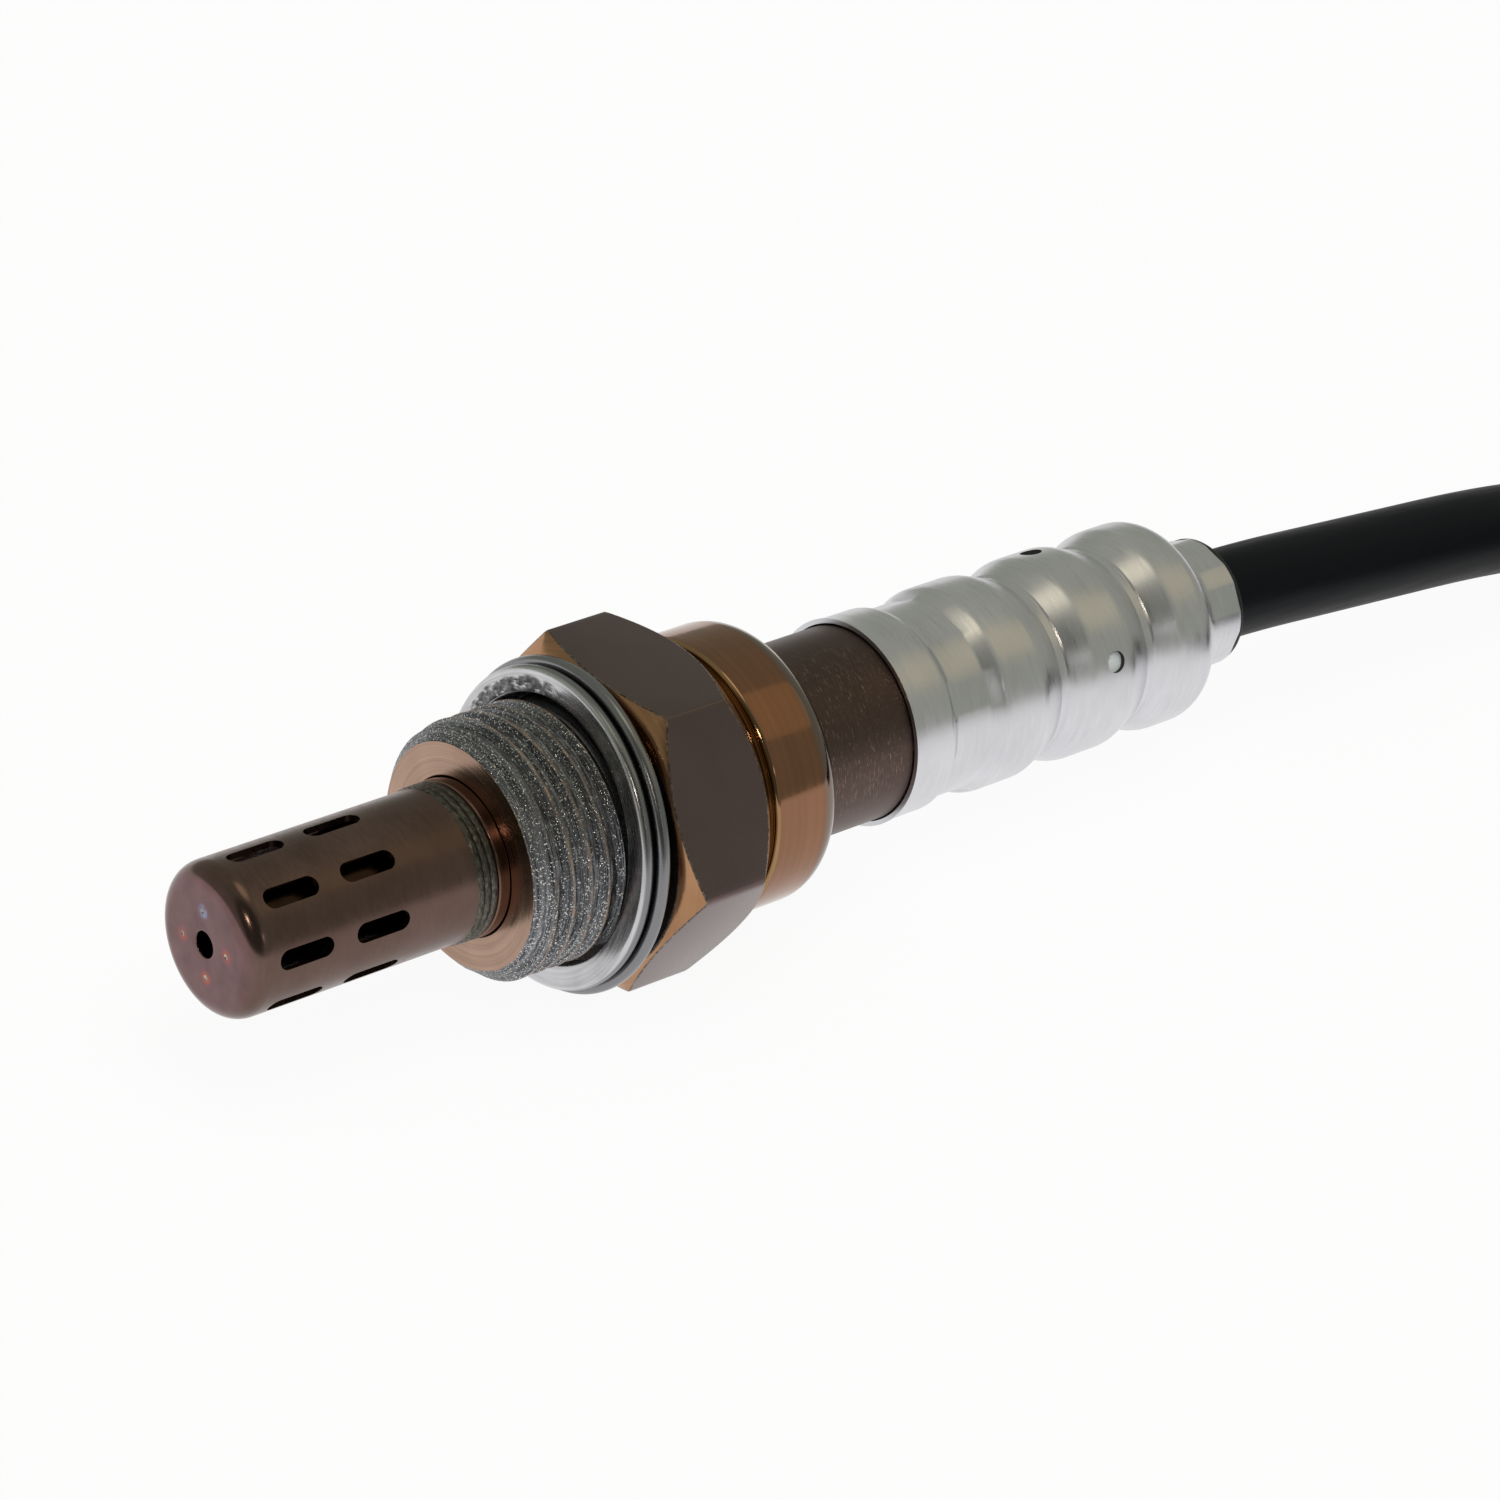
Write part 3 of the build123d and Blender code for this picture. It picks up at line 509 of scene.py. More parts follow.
def makeBody(s):
    steps = 240
    coneRise = tan(radians(s.coneAngle))
    recessFront, recessRear, recess = s.recess
    outline = [
        (s.reliefStart, s.packed), (-0.5, s.packed, 0.2), (0, s.packed + 0.3, 0.2), (0, s.seat),
        ((s.hexCorner - s.seat) * coneRise, s.hexCorner),
        (s.hexRear - s.hexCorner + s.hexRearRadius, s.hexCorner), (s.hexRear, s.hexRearRadius),
        (s.hexRear, s.groove, 0.22), (s.collarFront, s.groove, 0.22), (s.collarFront, s.collar, 0.42),
        (s.lip, s.collar, 1.9), (s.lip, s.lipHole, 0.5), (recessRear, s.lipHole), (recessRear, recess),
        (recessFront, recess), (recessFront, s.cavity), (s.cone[0], s.cavity), (s.cone[1], s.throat),
        (s.boreRear, s.throat), (s.boreRear, s.bore), (s.front, s.bore, 0.1),
        (s.front, s.crest - s.leadIn),
    ]
    shape = spinShape(outlineWire(outline, closed=False, arcStep=6), steps)
    # press the two widest rings in to the six flats, along the cones that they end
    for vert in shape.verts:
        x, r = placeOf(vert.co)
        if r > s.hexCorner - 0.01:
            side = (degrees(atan2(vert.co.z, vert.co.y)) + 120) % 60 - 30
            flat = min(s.hexCorner, s.hexAcross / 2 / cos(radians(side)))
            x = (flat - s.seat) * coneRise if x < s.hexRear / 2 else s.hexRear - flat + s.hexRearRadius
            vert.co = (x * mm, vert.co.y * flat / r, vert.co.z * flat / r)
    join(shape, helixThread(s, steps))
    ops.remove_doubles(shape, verts=shape.verts, dist=0.003 * mm)
    ops.dissolve_degenerate(shape, dist=0.002 * mm, edges=shape.edges)
    ops.recalc_face_normals(shape, faces=shape.faces)
    worn = []
    for edge in shape.edges:
        x, r = placeOf(edge.verts[0].co)
        onHexagon = -0.1 < x < s.hexRear and r > s.groove + 0.35
        if onHexagon and edge.is_manifold and edge.calc_face_angle() > radians(20):
            worn.append(edge)
    roundEdges(shape, worn, s.edgeWear)
    finishes = [
        turnedMetal("heatTintedFace", *s.faceLook), threadPaste(s), mouldedFinish("sootAndPaintedShade", *s.sootLook),
        turnedMetal("heatTintedCone", *s.coneLook), mouldedFinish("tintedHexagonFlats", *s.flatLook),
        wornEdges(s), collarTint(s), turnedMetal("polishedGroove", *s.grooveLook),
    ]
    piece = addPiece(shape, "sensorBody", ["sensor_body"], finishes)
    frontCone, rearCone = -cos(radians(s.coneAngle)), 0.68  # how far along X their faces point

    def tests(x, r, normal):
        onCone = abs(normal.x - frontCone) < 0.03 or normal.x > rearCone
        return [
            x < s.front + 0.02,
            x < -0.6 and r > s.bore + 1,
            # soot in the bore, and painted shade on the relief's end, the seat face round it and the inside
            # of the collar
            x < -0.01 or r < s.lipHole or (abs(x) < 0.01 and r < s.seat - 0.2),
            x < s.hexRear and onCone and r > s.groove,
            x < s.hexRear and abs(normal.x) < 0.02 and r > s.hexAcross / 2 - 0.2,
            x < s.hexRear - 0.02 and r > s.groove + 0.4,
            x > s.collarFront + 0.3,
            True,
        ]

    paint(piece, tests)


makeBody(named(body))
print("sensor body made")


# gasket

gasket = {
    "inner": 9.27, "outer": 11.56, "frontStep": 0.46, "grooveDepth": 0.5, "thickness": 1.95,
    "groove": 0.12, "round": 0.42, "centreX": -1.9905, "sag": 0.1, "leanY": 4.8, "leanZ": -2.2,
    # paste smeared on the front face
    "smear": {"start": 88, "end": 160, "inner": 9.4, "outer": 10.6, "height": 0.2},
    # stamped and folded sheet steel, bright on its front face, with the lobe tint painted on its folded lobes
    # as shade
    "look": (("#c6c6c8", "#dad9dc"), 3, (0.12, 9), 0.3, 0.003, (0.2, 0.32)),
    "lobeTint": "#858587",
    "pasteTints": ("#5a5a5d", "#a0a0a3"),
}


def smearedSteel(s):
    # the gasket's steel, with painted shade on its folded lobes behind the front face, and the smear's paste
    # where its face was wiped
    material = turnedMetal("stampedGasketSteel", *s.look)
    add = partial(addNode, material)
    lobe = add("Attribute", output="Fac", attribute_name="lobe")
    finishWith(material, (lobe, linkedTo(material, "Base Color"), s.lobeTint))
    smear = add("Attribute", output="Fac", attribute_name="smear")
    paste = add("Mix", tinted(specks(material, 0.35, 4.0), *s.pasteTints), **inColour)
    dull = add("Mix", {0: smear, 2: linkedTo(material, "Roughness"), 3: 0.62})
    finishWith(material, (smear, linkedTo(material, "Base Color"), paste), dull)
    return material


def makeGasket(s):
    half, rib = s.thickness / 2, s.groove / 2
    front = s.outer - s.frontStep
    ring = outlineWire([
        (-half, s.inner, 0.15), (-half, front, s.round), (-rib, front, s.round),
        (-rib, front - s.grooveDepth), (rib, front - s.grooveDepth), (rib, s.outer, s.round),
        (half, s.outer, s.round), (half, s.inner, 0.15),
    ])
    frontFace = [edge for edge in ring.edges if max(vert.co.x for vert in edge.verts) < (0.001 - half) * mm]
    ops.subdivide_edges(ring, edges=frontFace, cuts=9)
    spinShape(ring, 288)
    layers = ring.verts.layers.float
    for name in ("lobe", "smear"):
        layers.new(name)
    lobe, lay = layers["lobe"], layers["smear"]
    wipe = named(s.smear)
    for vert in ring.verts:
        x, r = placeOf(vert.co)
        angle = angleFromSide(vert.co.y, vert.co.z)
        # the lobes behind the front face take the painted shade
        vert[lobe] = eased(x, -half + 0.1, -half + 0.22)
        if x > 0.001 - half or not wipe.start < angle < wipe.end:
            continue
        across = eased(r, wipe.inner - 0.2, wipe.inner + 0.2)
        across *= eased(-r, -wipe.outer, -wipe.outer + 0.5)
        along = eased(angle, wipe.start, wipe.start + 25) * eased(-angle, -wipe.end, -wipe.end + 12)
        lumps = 0.5 + 0.9 * noise.fractal(Vector((r * 4, angle * 0.25, 3)), 0.8, 2.1, 4)
        vert[lay] = eased(across * along * lumps, 0.12, 0.35)
        vert.co.x -= wipe.height * mm * max(0, across * along * lumps)
    lean = Matrix.Rotation(radians(s.leanY), 4, "Y") @ Matrix.Rotation(radians(s.leanZ), 4, "Z")
    place = Matrix.Translation(Vector((s.centreX, -s.sag, -s.sag)) * mm)
    ops.transform(ring, verts=ring.verts, matrix=place @ lean)
    addPiece(ring, "foldedGasket", ["gasket"], [smearedSteel(s)], 50)


makeGasket(named(gasket))
print("gasket made")


# probe

probe = {
    "tip": -30.54, "radius": 5.35, "wall": 0.45, "corner": 1.5, "hole": 0.92, "rear": -10.8,
    "rimRear": -6.5, "rim": 5.5, "rows": (-26.3, -20.2), "slots": 8, "phase": 11, "slotLength": 4.25,
    "slotWidth": 1.42, "beadFront": -12.45, "beadPitch": 0.55, "beadHeight": 0.12, "dots": 4,
    "dotPlace": 2.35,  # from the axis
    "dotRadius": 0.23, "polish": 0.19,
    "polished": (1.8, 0.9),  # how far from the tip the corner's polish comes in
    "lap": 3.2,  # how far the ring reaches into the cover
    "lapHole": 3.92, "rimHole": 3.55, "rimStep": -8.0,
    # deep-drawn stainless cup, satin and browned by heat
    "coverLook": (("#655149", "#715b54"), 3.5, (0.22, 1), 0.12, 0.001, (0.25, 0.34)),
    "endTints": ("#6a5152", "#795d5c"),
    "haloTints": ("#7b5562", "#a85d40", "#8aa0bc"),
    "beadTints": ("#3d3b36", "#6f6d65"),
    "dotTints": ("#4c3c36", "#c2bbb4"),
    # turned ring, browner and shinier
    "rimLook": (("#6b5347", "#86695e"), 4, (0.3, 14), 0.12, 0.0015, (0.14, 0.24)),
}


def heatTint(s):
    # the cover's brown, going to mauve on the end face, with rings of temper colour round the dots
    material = turnedMetal("brownedProbeCover", *s.coverLook)
    add = partial(addNode, material)
    place = add("TexCoord", output="Object")
    parts = add("SeparateXYZ", {0: place}).node.outputs
    endFace = add("MapRange", {0: parts["X"], 1: (s.tip + 0.5) * mm, 2: (s.tip + 0.02) * mm})
    mauve = add("Mix", tinted(specks(material, 1.6), *s.endTints), **inColour)
    colour = add("Mix", tinted(endFace, linkedTo(material, "Base Color"), mauve), **inColour)
    # fold the end face in four, so that one dot stands for all
    folded = add("Mapping", {"Vector": place, "Rotation": (radians(s.phase - 45), 0, 0)})
    folded = add("VectorMath", {0: folded}, operation="ABSOLUTE")
    flat = add("VectorMath", {0: folded, 1: (0, 1, 1)}, **times)
    reach = s.dotPlace * cos(radians(45)) * mm
    distance = add("VectorMath", {0: flat, 1: (0, reach, reach)}, "Value", operation="DISTANCE")
    topDot = add("MapRange", {0: parts["Z"], 1: 1.0 * mm, 2: 2.0 * mm})
    ring = add("Mix", tinted(topDot, s.haloTints[1], s.haloTints[2]), **inColour)
    # the rings are uneven, wider on one side
    uneven = add("MapRange", {0: specks(material, 0.7), 3: 0.25, 4: 1.0})
    for edge, tint in ((1.0, s.haloTints[0]), (0.66, ring)):
        near = {0: distance, 1: edge * mm, 2: s.dotRadius * 0.8 * mm}
        halo = add("MapRange", near, interpolation_type="SMOOTHSTEP")
        for share in (uneven, endFace):
            halo = add("Math", {0: halo, 1: share}, **times)
        colour = add("Mix", tinted(halo, colour, tint), **inColour)
    # the drawing die left the corner shinier
    start, end = s.polished
    corner = {0: parts["X"], 1: (s.tip + start) * mm, 2: (s.tip + end) * mm}
    shiny = {0: add("MapRange", corner), 2: linkedTo(material, "Roughness"), 3: s.polish}
    finishWith(material, colour, add("Mix", shiny))
    return material


def weldBeadScale(s):
    # the laser weld's ripples under a grey-green scale
    material = newMaterial("scaledWeldBead", 1.0)
    scale = specks(material, 0.4, 4.0, (0.4, 1, 1))
    finishWith(material, (scale, *s.beadTints), (scale, 0.5, 0.28), scale, 0.03)
    return material


def makeProbe(s):
    inner = s.radius - s.wall
    beads = []
    for i in range(3):
        x = s.beadFront + s.beadPitch * i
        beads += [
            (x, s.radius, 0.06), (x + s.beadPitch * 0.3, s.radius + s.beadHeight, 0.12),
            (x + s.beadPitch * 0.7, s.radius + s.beadHeight, 0.12),
        ]
    outline = [
        (s.tip, s.hole, 0.08), (s.tip, s.radius, s.corner), *beads, (s.rear, s.radius), (s.rear, inner),
        (s.tip + s.wall, inner, s.corner - s.wall), (s.tip + s.wall, s.hole, 0.08),
    ]
    shell = turned(outline, 224)
    # the dots are spot welds that stayed bright
    brightDot = newMaterial("brightWeldDot", 1.0, 0.2)
    finishWith(brightDot, (specks(brightDot, 0.2), *s.dotTints))
    finishes = [heatTint(s), weldBeadScale(s), brightDot]
    piece = addPiece(shell, "probeCover", ["outer_cover"], finishes)
    cutter = bmesh.new()
    for x in s.rows:
        for i in range(s.slots):
            bar = roundBar(s.slotLength, s.slotWidth, inner - 0.6, s.radius + 1, x)
            join(cutter, atSide(bar, s.phase + 360 / s.slots * i))
    for i in range(s.dots):
        dimple = bmesh.new()
        place = Matrix.Translation(Vector((s.tip - 0.24, 0, s.dotPlace)) * mm)
        ops.create_icosphere(dimple, subdivisions=3, radius=s.dotRadius * 1.35 * mm, matrix=place)
        join(cutter, atSide(dimple, s.phase + 360 / s.dots * i))
    cutAway(piece, cutter)

    def tests(x, r, normal):
        inDot = s.tip + 0.003 < x < s.tip + 0.2 and abs(r - s.dotPlace) < s.dotRadius
        return [not inDot and not s.beadFront < x < s.rear - 0.01, not inDot, True]

    paint(piece, tests)
    softenEdges(piece, 0.05)


def makeProbeRim(s):
    inner = s.radius - s.wall - 0.02
    outline = [
        (s.rear - s.lap, s.lapHole), (s.rear - s.lap, inner), (s.rear, inner), (s.rear, s.rim, 0.15),
        (s.rimRear, s.rim), (s.rimRear, s.rimHole), (s.rimStep, s.rimHole), (s.rimStep, s.lapHole),
    ]
    finish = turnedMetal("brownedProbeRim", *s.rimLook)
    addPiece(turned(outline), "probeRim", ["cover_base"], [finish])


makeProbe(named(probe))
makeProbeRim(named(probe))
print("probe made")


# end cover

endCover = {
    "front": 24.3, "rim": 7.5, "radius": 7.4, "bulge": 7.5, "wall": 0.35, "crimp": (28.5, 31.7),
    "crimpRear": 33.0, "crimpRidge": 6.97, "crimpFlat": 6.9, "rolls": (39.1, 47.5), "rollHalf": 2.45,
    "roll": 6.6,
    "rollMark": (0.46, 0.13),  # half the width, and the depth, of the mark that the roller leaves
    "shoulder": 53.0, "neckFront": 55.5, "ridge": 4.78, "flat": 4.66, "rear": 58.5, "jawPhase": 32.5,
    "vent": 0.8, "ventX": 43.4, "vents": 4, "ventPhase": 24,
    # drawn stainless sheet, brushed round and rolled
    "look": (("#d5d4d8", "#dedde1"), 4, (0.2, 2), 0.1, 0.0022, (0.27, 0.37)),
    # painted shade: the punched wall of a vent is tinted dark grey for the shadow inside the hole, and rough
    "ventLook": (("#3c3e3e", "#555857"), 0.2, (0.5, 0.6), 0.01, 1.0),
}


def endOutline(s, out, crimp, neck):
    # the cover's line, moved out by a distance; the inside has no roller's marks
    less = 0 if out == 0 else s.wall
    half = s.rollHalf
    slope = (s.bulge - s.roll) / half
    line = [
        (s.front, s.rim + out), (s.front + 1, s.radius + out, 3),
        (s.crimp[0] - 0.6, s.radius + out, 0.8 - less), (s.crimp[0], crimp + out, 0.5 + less),
        (s.crimp[1], crimp + out, 0.8 + less), (s.crimpRear, s.bulge + out, 1.5 - less),
    ]
    for middle in s.rolls:
        line.append((middle - half, s.bulge + out, 2 - less))
        if out:
            line.append((middle, s.roll + out, 1.5 + less))
        else:
            mark, deep = s.rollMark
            edge = s.roll + slope * mark
            line += [(middle - mark, edge, 0.05), (middle - mark + deep, edge - deep, 0.05)]
            line += [(middle + mark - deep, edge - deep, 0.05), (middle + mark, edge, 0.05)]
        line.append((middle + half, s.bulge + out, 2 - less))
    return line + [
        (s.shoulder + out * 0.4, s.bulge + out, 1.6 - less),
        (s.neckFront + out * 0.4, neck + out, 0.9 + less), (s.rear, neck + out),
    ]


def makeEndCover(s):
    outside = endOutline(s, 0, s.crimpRidge, s.ridge)
    inside = endOutline(s, -s.wall, s.crimpFlat, s.flat)
    shell = turned(outside + inside[::-1], 288)
    onNeck = [edge for edge in shell.edges if min(vert.co.x for vert in edge.verts) > s.neckFront * mm]
    longRuns = [edge for edge in onNeck if edge.calc_length() > 1.5 * mm]
    ops.subdivide_edges(shell, edges=longRuns, cuts=6, use_grid_fill=True)
    for vert in shell.verts:
        x, r = placeOf(vert.co)
        side = (angleFromSide(vert.co.y, vert.co.z) - s.jawPhase + 382.5) % 45 - 22.5
        if s.crimp[0] - 0.3 < x < s.crimp[1] + 0.3 and r > s.crimpFlat - 0.1:
            pressed = min(r, s.crimpFlat / cos(radians(side)))
        elif x > s.neckFront - 0.6 and r > s.flat - 0.05:
            deep = eased(x, s.neckFront - 0.4, s.neckFront + 0.6) * (1 - eased(abs(side), 17, 21))
            pressed = r + (min(r, s.flat / cos(radians(side))) - r) * deep
        else:
            continue
        vert.co = (vert.co.x, vert.co.y * pressed / r, vert.co.z * pressed / r)
    finishes = [turnedMetal("brushedStainlessCover", *s.look), mouldedFinish("ventWallPaintedShade", *s.ventLook)]
    piece = addPiece(shell, "endCover", ["end_cover"], finishes)
    cutAway(piece, vents(s, s.bulge - 0.9, 9))

    def tests(x, r, normal):
        # the vents' walls take the painted shade
        return [not (abs(x - s.ventX) < s.vent and s.bulge - s.wall < r < s.bulge - 0.02), True]

    paint(piece, tests)
    softenEdges(piece, 0.05, 60)


def vents(s, low, high):
    holes = bmesh.new()
    for i in range(s.vents):
        hole = roundBar(s.vent * 2, s.vent * 2, low, high, s.ventX)
        join(holes, atSide(hole, s.ventPhase + 360 / s.vents * i))
    return holes


# pressed porous fluoropolymer, pale and matt, pressed out towards the vents
ventFilter = {
    "front": 37.2, "rear": 49.2, "inner": 5.92, "low": 6.2, "high": 7.12,
    "rise": (40.2, 42.2), "fall": (44.6, 46.6),
    "look": (("#e4ecf0", "#f1f6f8"), 0.2, (0.7, 0.8), 0.012),
}


def makeFilter(s):
    outline = [
        (s.front, s.inner), (s.front, s.low, 0.1), (s.rise[0], s.low, 1.0), (s.rise[1], s.high, 1.2),
        (s.fall[0], s.high, 1.2), (s.fall[1], s.low, 1.0), (s.rear, s.low, 0.1), (s.rear, s.inner),
    ]
    finish = mouldedFinish("porousFilter", *s.look)
    addPiece(turned(outline, 144), "ventFilterSleeve", ["vent_filter"], [finish])


makeEndCover(named(endCover))
makeFilter(named(ventFilter))
print("end cover made")


# rear sleeve, the brown tube that the cover is crimped on

sleeve = {
    "front": 12.8, "flangeRear": 13.6, "flange": 8.4, "radius": 7.04, "wall": 0.5,
    "steps": (27.4, 28.2, 34.4, 35.2), "waist": 6.5, "tail": 5.9, "rear": 50.0,
    # drawn tube, matt brown, with fine scratches; a bright tint on them in a patch facing the lamps is a
    # painted glint
    "look": (("#574843", "#604f49"), 5, (0.14, 2.2), 0.1, 0.002, (0.36, 0.46)),
    "scratch": (0.04, 0.6),  # width and length
    "handled": (20.5, -5.4, 4.4),  # the middle of the patch of painted glints on the scratches, where the tube faces the lamps
    "handledReach": (7.5, 4), "scratchTint": "#b39683",
}


def tubeScratchesAndPaintedGlints(s):
    # the tube's brown, with fine scratches that carry a painted glint in the patch that faces the lamps
    material = turnedMetal("brownedRearSleeve", *s.look)
    add = partial(addNode, material)
    lines = turningLines(material, *s.scratch)
    # painted glints: the scratches take a bright tint only in a patch round the place facing the lamps
    scratchGlints = add("MapRange", {0: lines, 1: 0.72, 2: 0.92})
    away = {0: add("TexCoord", output="Object"), 1: [part * mm for part in s.handled]}
    away = add("VectorMath", away, "Value", operation="DISTANCE")
    start, end = s.handledReach
    glintPatch = add("MapRange", {0: away, 1: start * mm, 2: end * mm})
    glintPatch = add("Math", {0: glintPatch, 1: specks(material, 0.8)}, **times)
    scratchGlints = add("Math", {0: scratchGlints, 1: glintPatch}, **times)
    colour = (scratchGlints, linkedTo(material, "Base Color"), s.scratchTint)
    finishWith(material, colour, (scratchGlints, 0.42, 0.2), scratchGlints, 0.012)
    return material


def makeSleeve(s):
    a, b, c, d = s.steps
    wall = s.wall
    outline = [
        (s.front, s.radius - wall), (s.front, s.flange), (s.flangeRear, s.flange),
        (s.flangeRear, s.radius, 0.3), (a, s.radius), (b, s.waist), (c, s.waist), (d, s.tail),
        (s.rear, s.tail), (s.rear, s.tail - wall), (d, s.tail - wall), (c, s.waist - wall),
        (b - 0.2, s.waist - wall), (a - 0.2, s.radius - wall),
    ]
    piece = addPiece(turned(outline), "rearSleeve", ["rear_sleeve"], [tubeScratchesAndPaintedGlints(s)])
    cutAway(piece, vents(named(endCover), s.tail - 1.5, s.tail + 1))


makeSleeve(named(sleeve))
print("rear sleeve made")


# grommet and boot, moulded rubber

grommet = {
    "front": 45.0, "plug": 5.4, "step": 50.0, "shoulder": 7.1, "shoulderRear": 53.0, "neckFront": 55.36,
    "neck": 4.25, "neckRear": 58.5, "rear": 58.9, "hole": 3.4, "rib": 0.25, "ribPitch": 1.4, "lip": 4.7,
}
boot = {
    "front": 98.0, "rear": 110.0, "frontRadius": 8.4, "rearRadius": 5.2, "rim": 2.0, "neck": 5.0,
    "wall": 1.4, "hole": 3.4, "ribs": 4, "ribPitch": 1.9, "ribDepth": 0.5, "tailEnd": 104.0,
}
rubberLook = (("#121416", "#191b1e"), 0.12, (0.5, 0.62), 0.004)
plugPlace = (0, -72.0, -0.6674)


def makeGrommet(s):
    ribs = []
    for i in range(3):
        x = s.front + 0.8 + s.ribPitch * i
        ribs += [(x, s.plug - s.rib, 0.1), (x + 0.4, s.plug, 0.15), (x + 0.8, s.plug - s.rib, 0.1)]
    outline = [
        (s.front, s.hole), (s.front, s.plug - s.rib), *ribs, (s.step, s.plug),
        (s.step, s.shoulder - 0.5), (s.step + 0.5, s.shoulder), (s.shoulderRear, s.shoulder),
        (s.neckFront, s.neck), (s.neckRear, s.neck), (s.neckRear, s.lip, 0.15), (s.rear, s.lip, 0.15),
        (s.rear, s.hole),
    ]
    addPiece(turned(outline, 144), "rubberGrommet", ["grommet"], [grommetRubber])


def makeBoot(s):
    # a bellows from the cap down to the lead, inside the plain boot's line
    line = [(s.front, s.frontRadius - s.wall), (s.front, s.frontRadius, 0.4)]
    line.append((s.front + s.rim, s.frontRadius, 0.4))
    neckFront = s.rear - s.neck
    for i in range(s.ribs):
        x = s.front + s.rim + 0.3 + s.ribPitch * i
        for forward, deep in ((0, 1), (0.7, 1), (0.8, 0), (1.7, 0)):
            share = min(1, (x + forward - s.front - s.rim) / (neckFront - s.front - s.rim))
            r = s.frontRadius + (s.rearRadius - s.frontRadius) * share
            line.append((x + forward, r - s.ribDepth * deep, 0.08))
    line += [(s.rear, s.rearRadius, 0.5), (s.rear, s.hole), (s.tailEnd, s.hole)]
    shell = turned(line, 96)
    ops.translate(shell, verts=shell.verts, vec=Vector(plugPlace) * mm)
    return addPiece(shell, "bellowsBoot", ["cable_boot"], [grommetRubber])


grommetRubber = mouldedFinish("mouldedRubber", *rubberLook)
makeGrommet(named(grommet))
bellowsBoot = makeBoot(named(boot))
print("rubber pieces made")


# tie round the coil, a cut nylon strap through a head

tie = {
    "x": 166.0, "y": -36.0, "lowZ": -7.4674, "highZ": -0.6674, "inner": 3.4, "thickness": 0.8, "width": 3.6,
    "headFront": 169.8, "headSize": (3.0, 5.0, 6.0), "headTaper": (0.55, 0.7), "rounding": 0.22, "stub": 1.3,
    "look": (("#17181a", "#1e1f22"), 0.25, (0.38, 0.5), 0.006),
}


def makeTie(s):
    strap = bmesh.new()
    upright = Matrix.Translation(Vector((s.x, s.y - s.width / 2, s.lowZ)) * mm)
    upright = upright @ Matrix.Rotation(radians(90), 4, "X")
    for radius in (s.inner, s.inner + s.thickness):
        ops.create_circle(strap, segments=64, radius=radius * mm, matrix=upright)
    upper = [vert for vert in strap.verts if vert.co.z > (s.lowZ + 0.01) * mm]
    moveUp(strap, upper, (s.highZ - s.lowZ) * mm)
    ops.bridge_loops(strap, edges=strap.edges[:])
    extruded(strap, (0, s.width * mm, 0))
    middle = Vector((s.headFront + s.headSize[0] / 2, s.y, (s.lowZ + s.highZ) / 2))
    inset, sunk = s.headTaper
    head = bmesh.new()
    ops.create_cube(head, size=mm)
    ops.scale(head, vec=s.headSize, verts=head.verts)
    ends = [face for face in head.faces if abs(face.normal.z) > 0.9]
    for end in ends:
        ops.inset_individual(head, faces=[end], thickness=inset * mm)
        moveUp(head, end.verts, -sunk * mm if end.normal.z > 0 else sunk * mm)
    rims = [edge for edge in head.edges if edge.calc_face_angle(0) > radians(60)]
    roundEdges(head, rims, s.rounding)
    stub = bmesh.new()
    ops.create_cube(stub, size=mm)
    ops.scale(stub, vec=(s.thickness, s.width, s.headSize[2] + s.stub), verts=stub.verts)
    moveUp(stub, stub.verts, s.stub / 2 * mm)
    join(head, stub)
    ops.translate(head, verts=head.verts, vec=middle * mm)
    join(strap, head)
    ops.recalc_face_normals(strap, faces=strap.faces)
    piece = addPiece(strap, "cutNylonTie", ["cable_tie"], [mouldedFinish("nylonTie", *s.look)])
    softenEdges(piece, 0.1, 50)
    return piece


nylonTie = makeTie(named(tie))


# silicone seals in the plug

seals = {
    "corner": 1.5, "wireFront": 90.0, "wireRear": 95.0, "wireHalf": 8.5, "ringFront": 78.0,
    "ringRear": 82.0, "ringHalf": 9.2, "towerHalf": 7.0, "rib": 0.35,
    "look": (("#8c4a34", "#9a5540"), 0.2, (0.4, 0.5), 0.003),
}


def squareSleeve(stations, corner):
    # a rounded square swept through stations of x and half a width
    shape = bmesh.new()
    x, half = stations[0]
    square = ((-1, -1), (1, -1), (1, 1), (-1, 1))
    corners = [shape.verts.new((x * mm, y * half * mm, z * half * mm)) for y, z in square]
    for run in zip(corners, corners[1:] + corners[:1]):
        shape.edges.new(run)
    rounding = {"offset": corner * mm, "offset_type": "OFFSET", "segments": 6}
    ops.bevel(shape, geom=corners, profile=0.5, affect="VERTICES", material=-1, **rounding)
    ring = shape.edges[:]
    for (x0, half0), (x1, half1) in zip(stations, stations[1:]):
        made = ops.extrude_edge_only(shape, edges=ring)["geom"]
        verts, ring = only(bmesh.types.BMVert, made), only(bmesh.types.BMEdge, made)
        ops.scale(shape, vec=(1, half1 / half0, half1 / half0), verts=verts)
        ops.translate(shape, vec=((x1 - x0) * mm, 0, 0), verts=verts)
    return shape


def ribbedLine(front, rear, half, rib):
    # stations along a seal's outside, with three ribs
    line = [(front, half - rib)]
    pitch = (rear - front) / 3
    for i in range(3):
        x = front + pitch * i
        for share, low in ((0.25, rib), (0.45, 0), (0.55, 0), (0.75, rib)):
            line.append((x + pitch * share, half - low))
    return line + [(rear, half - rib)]


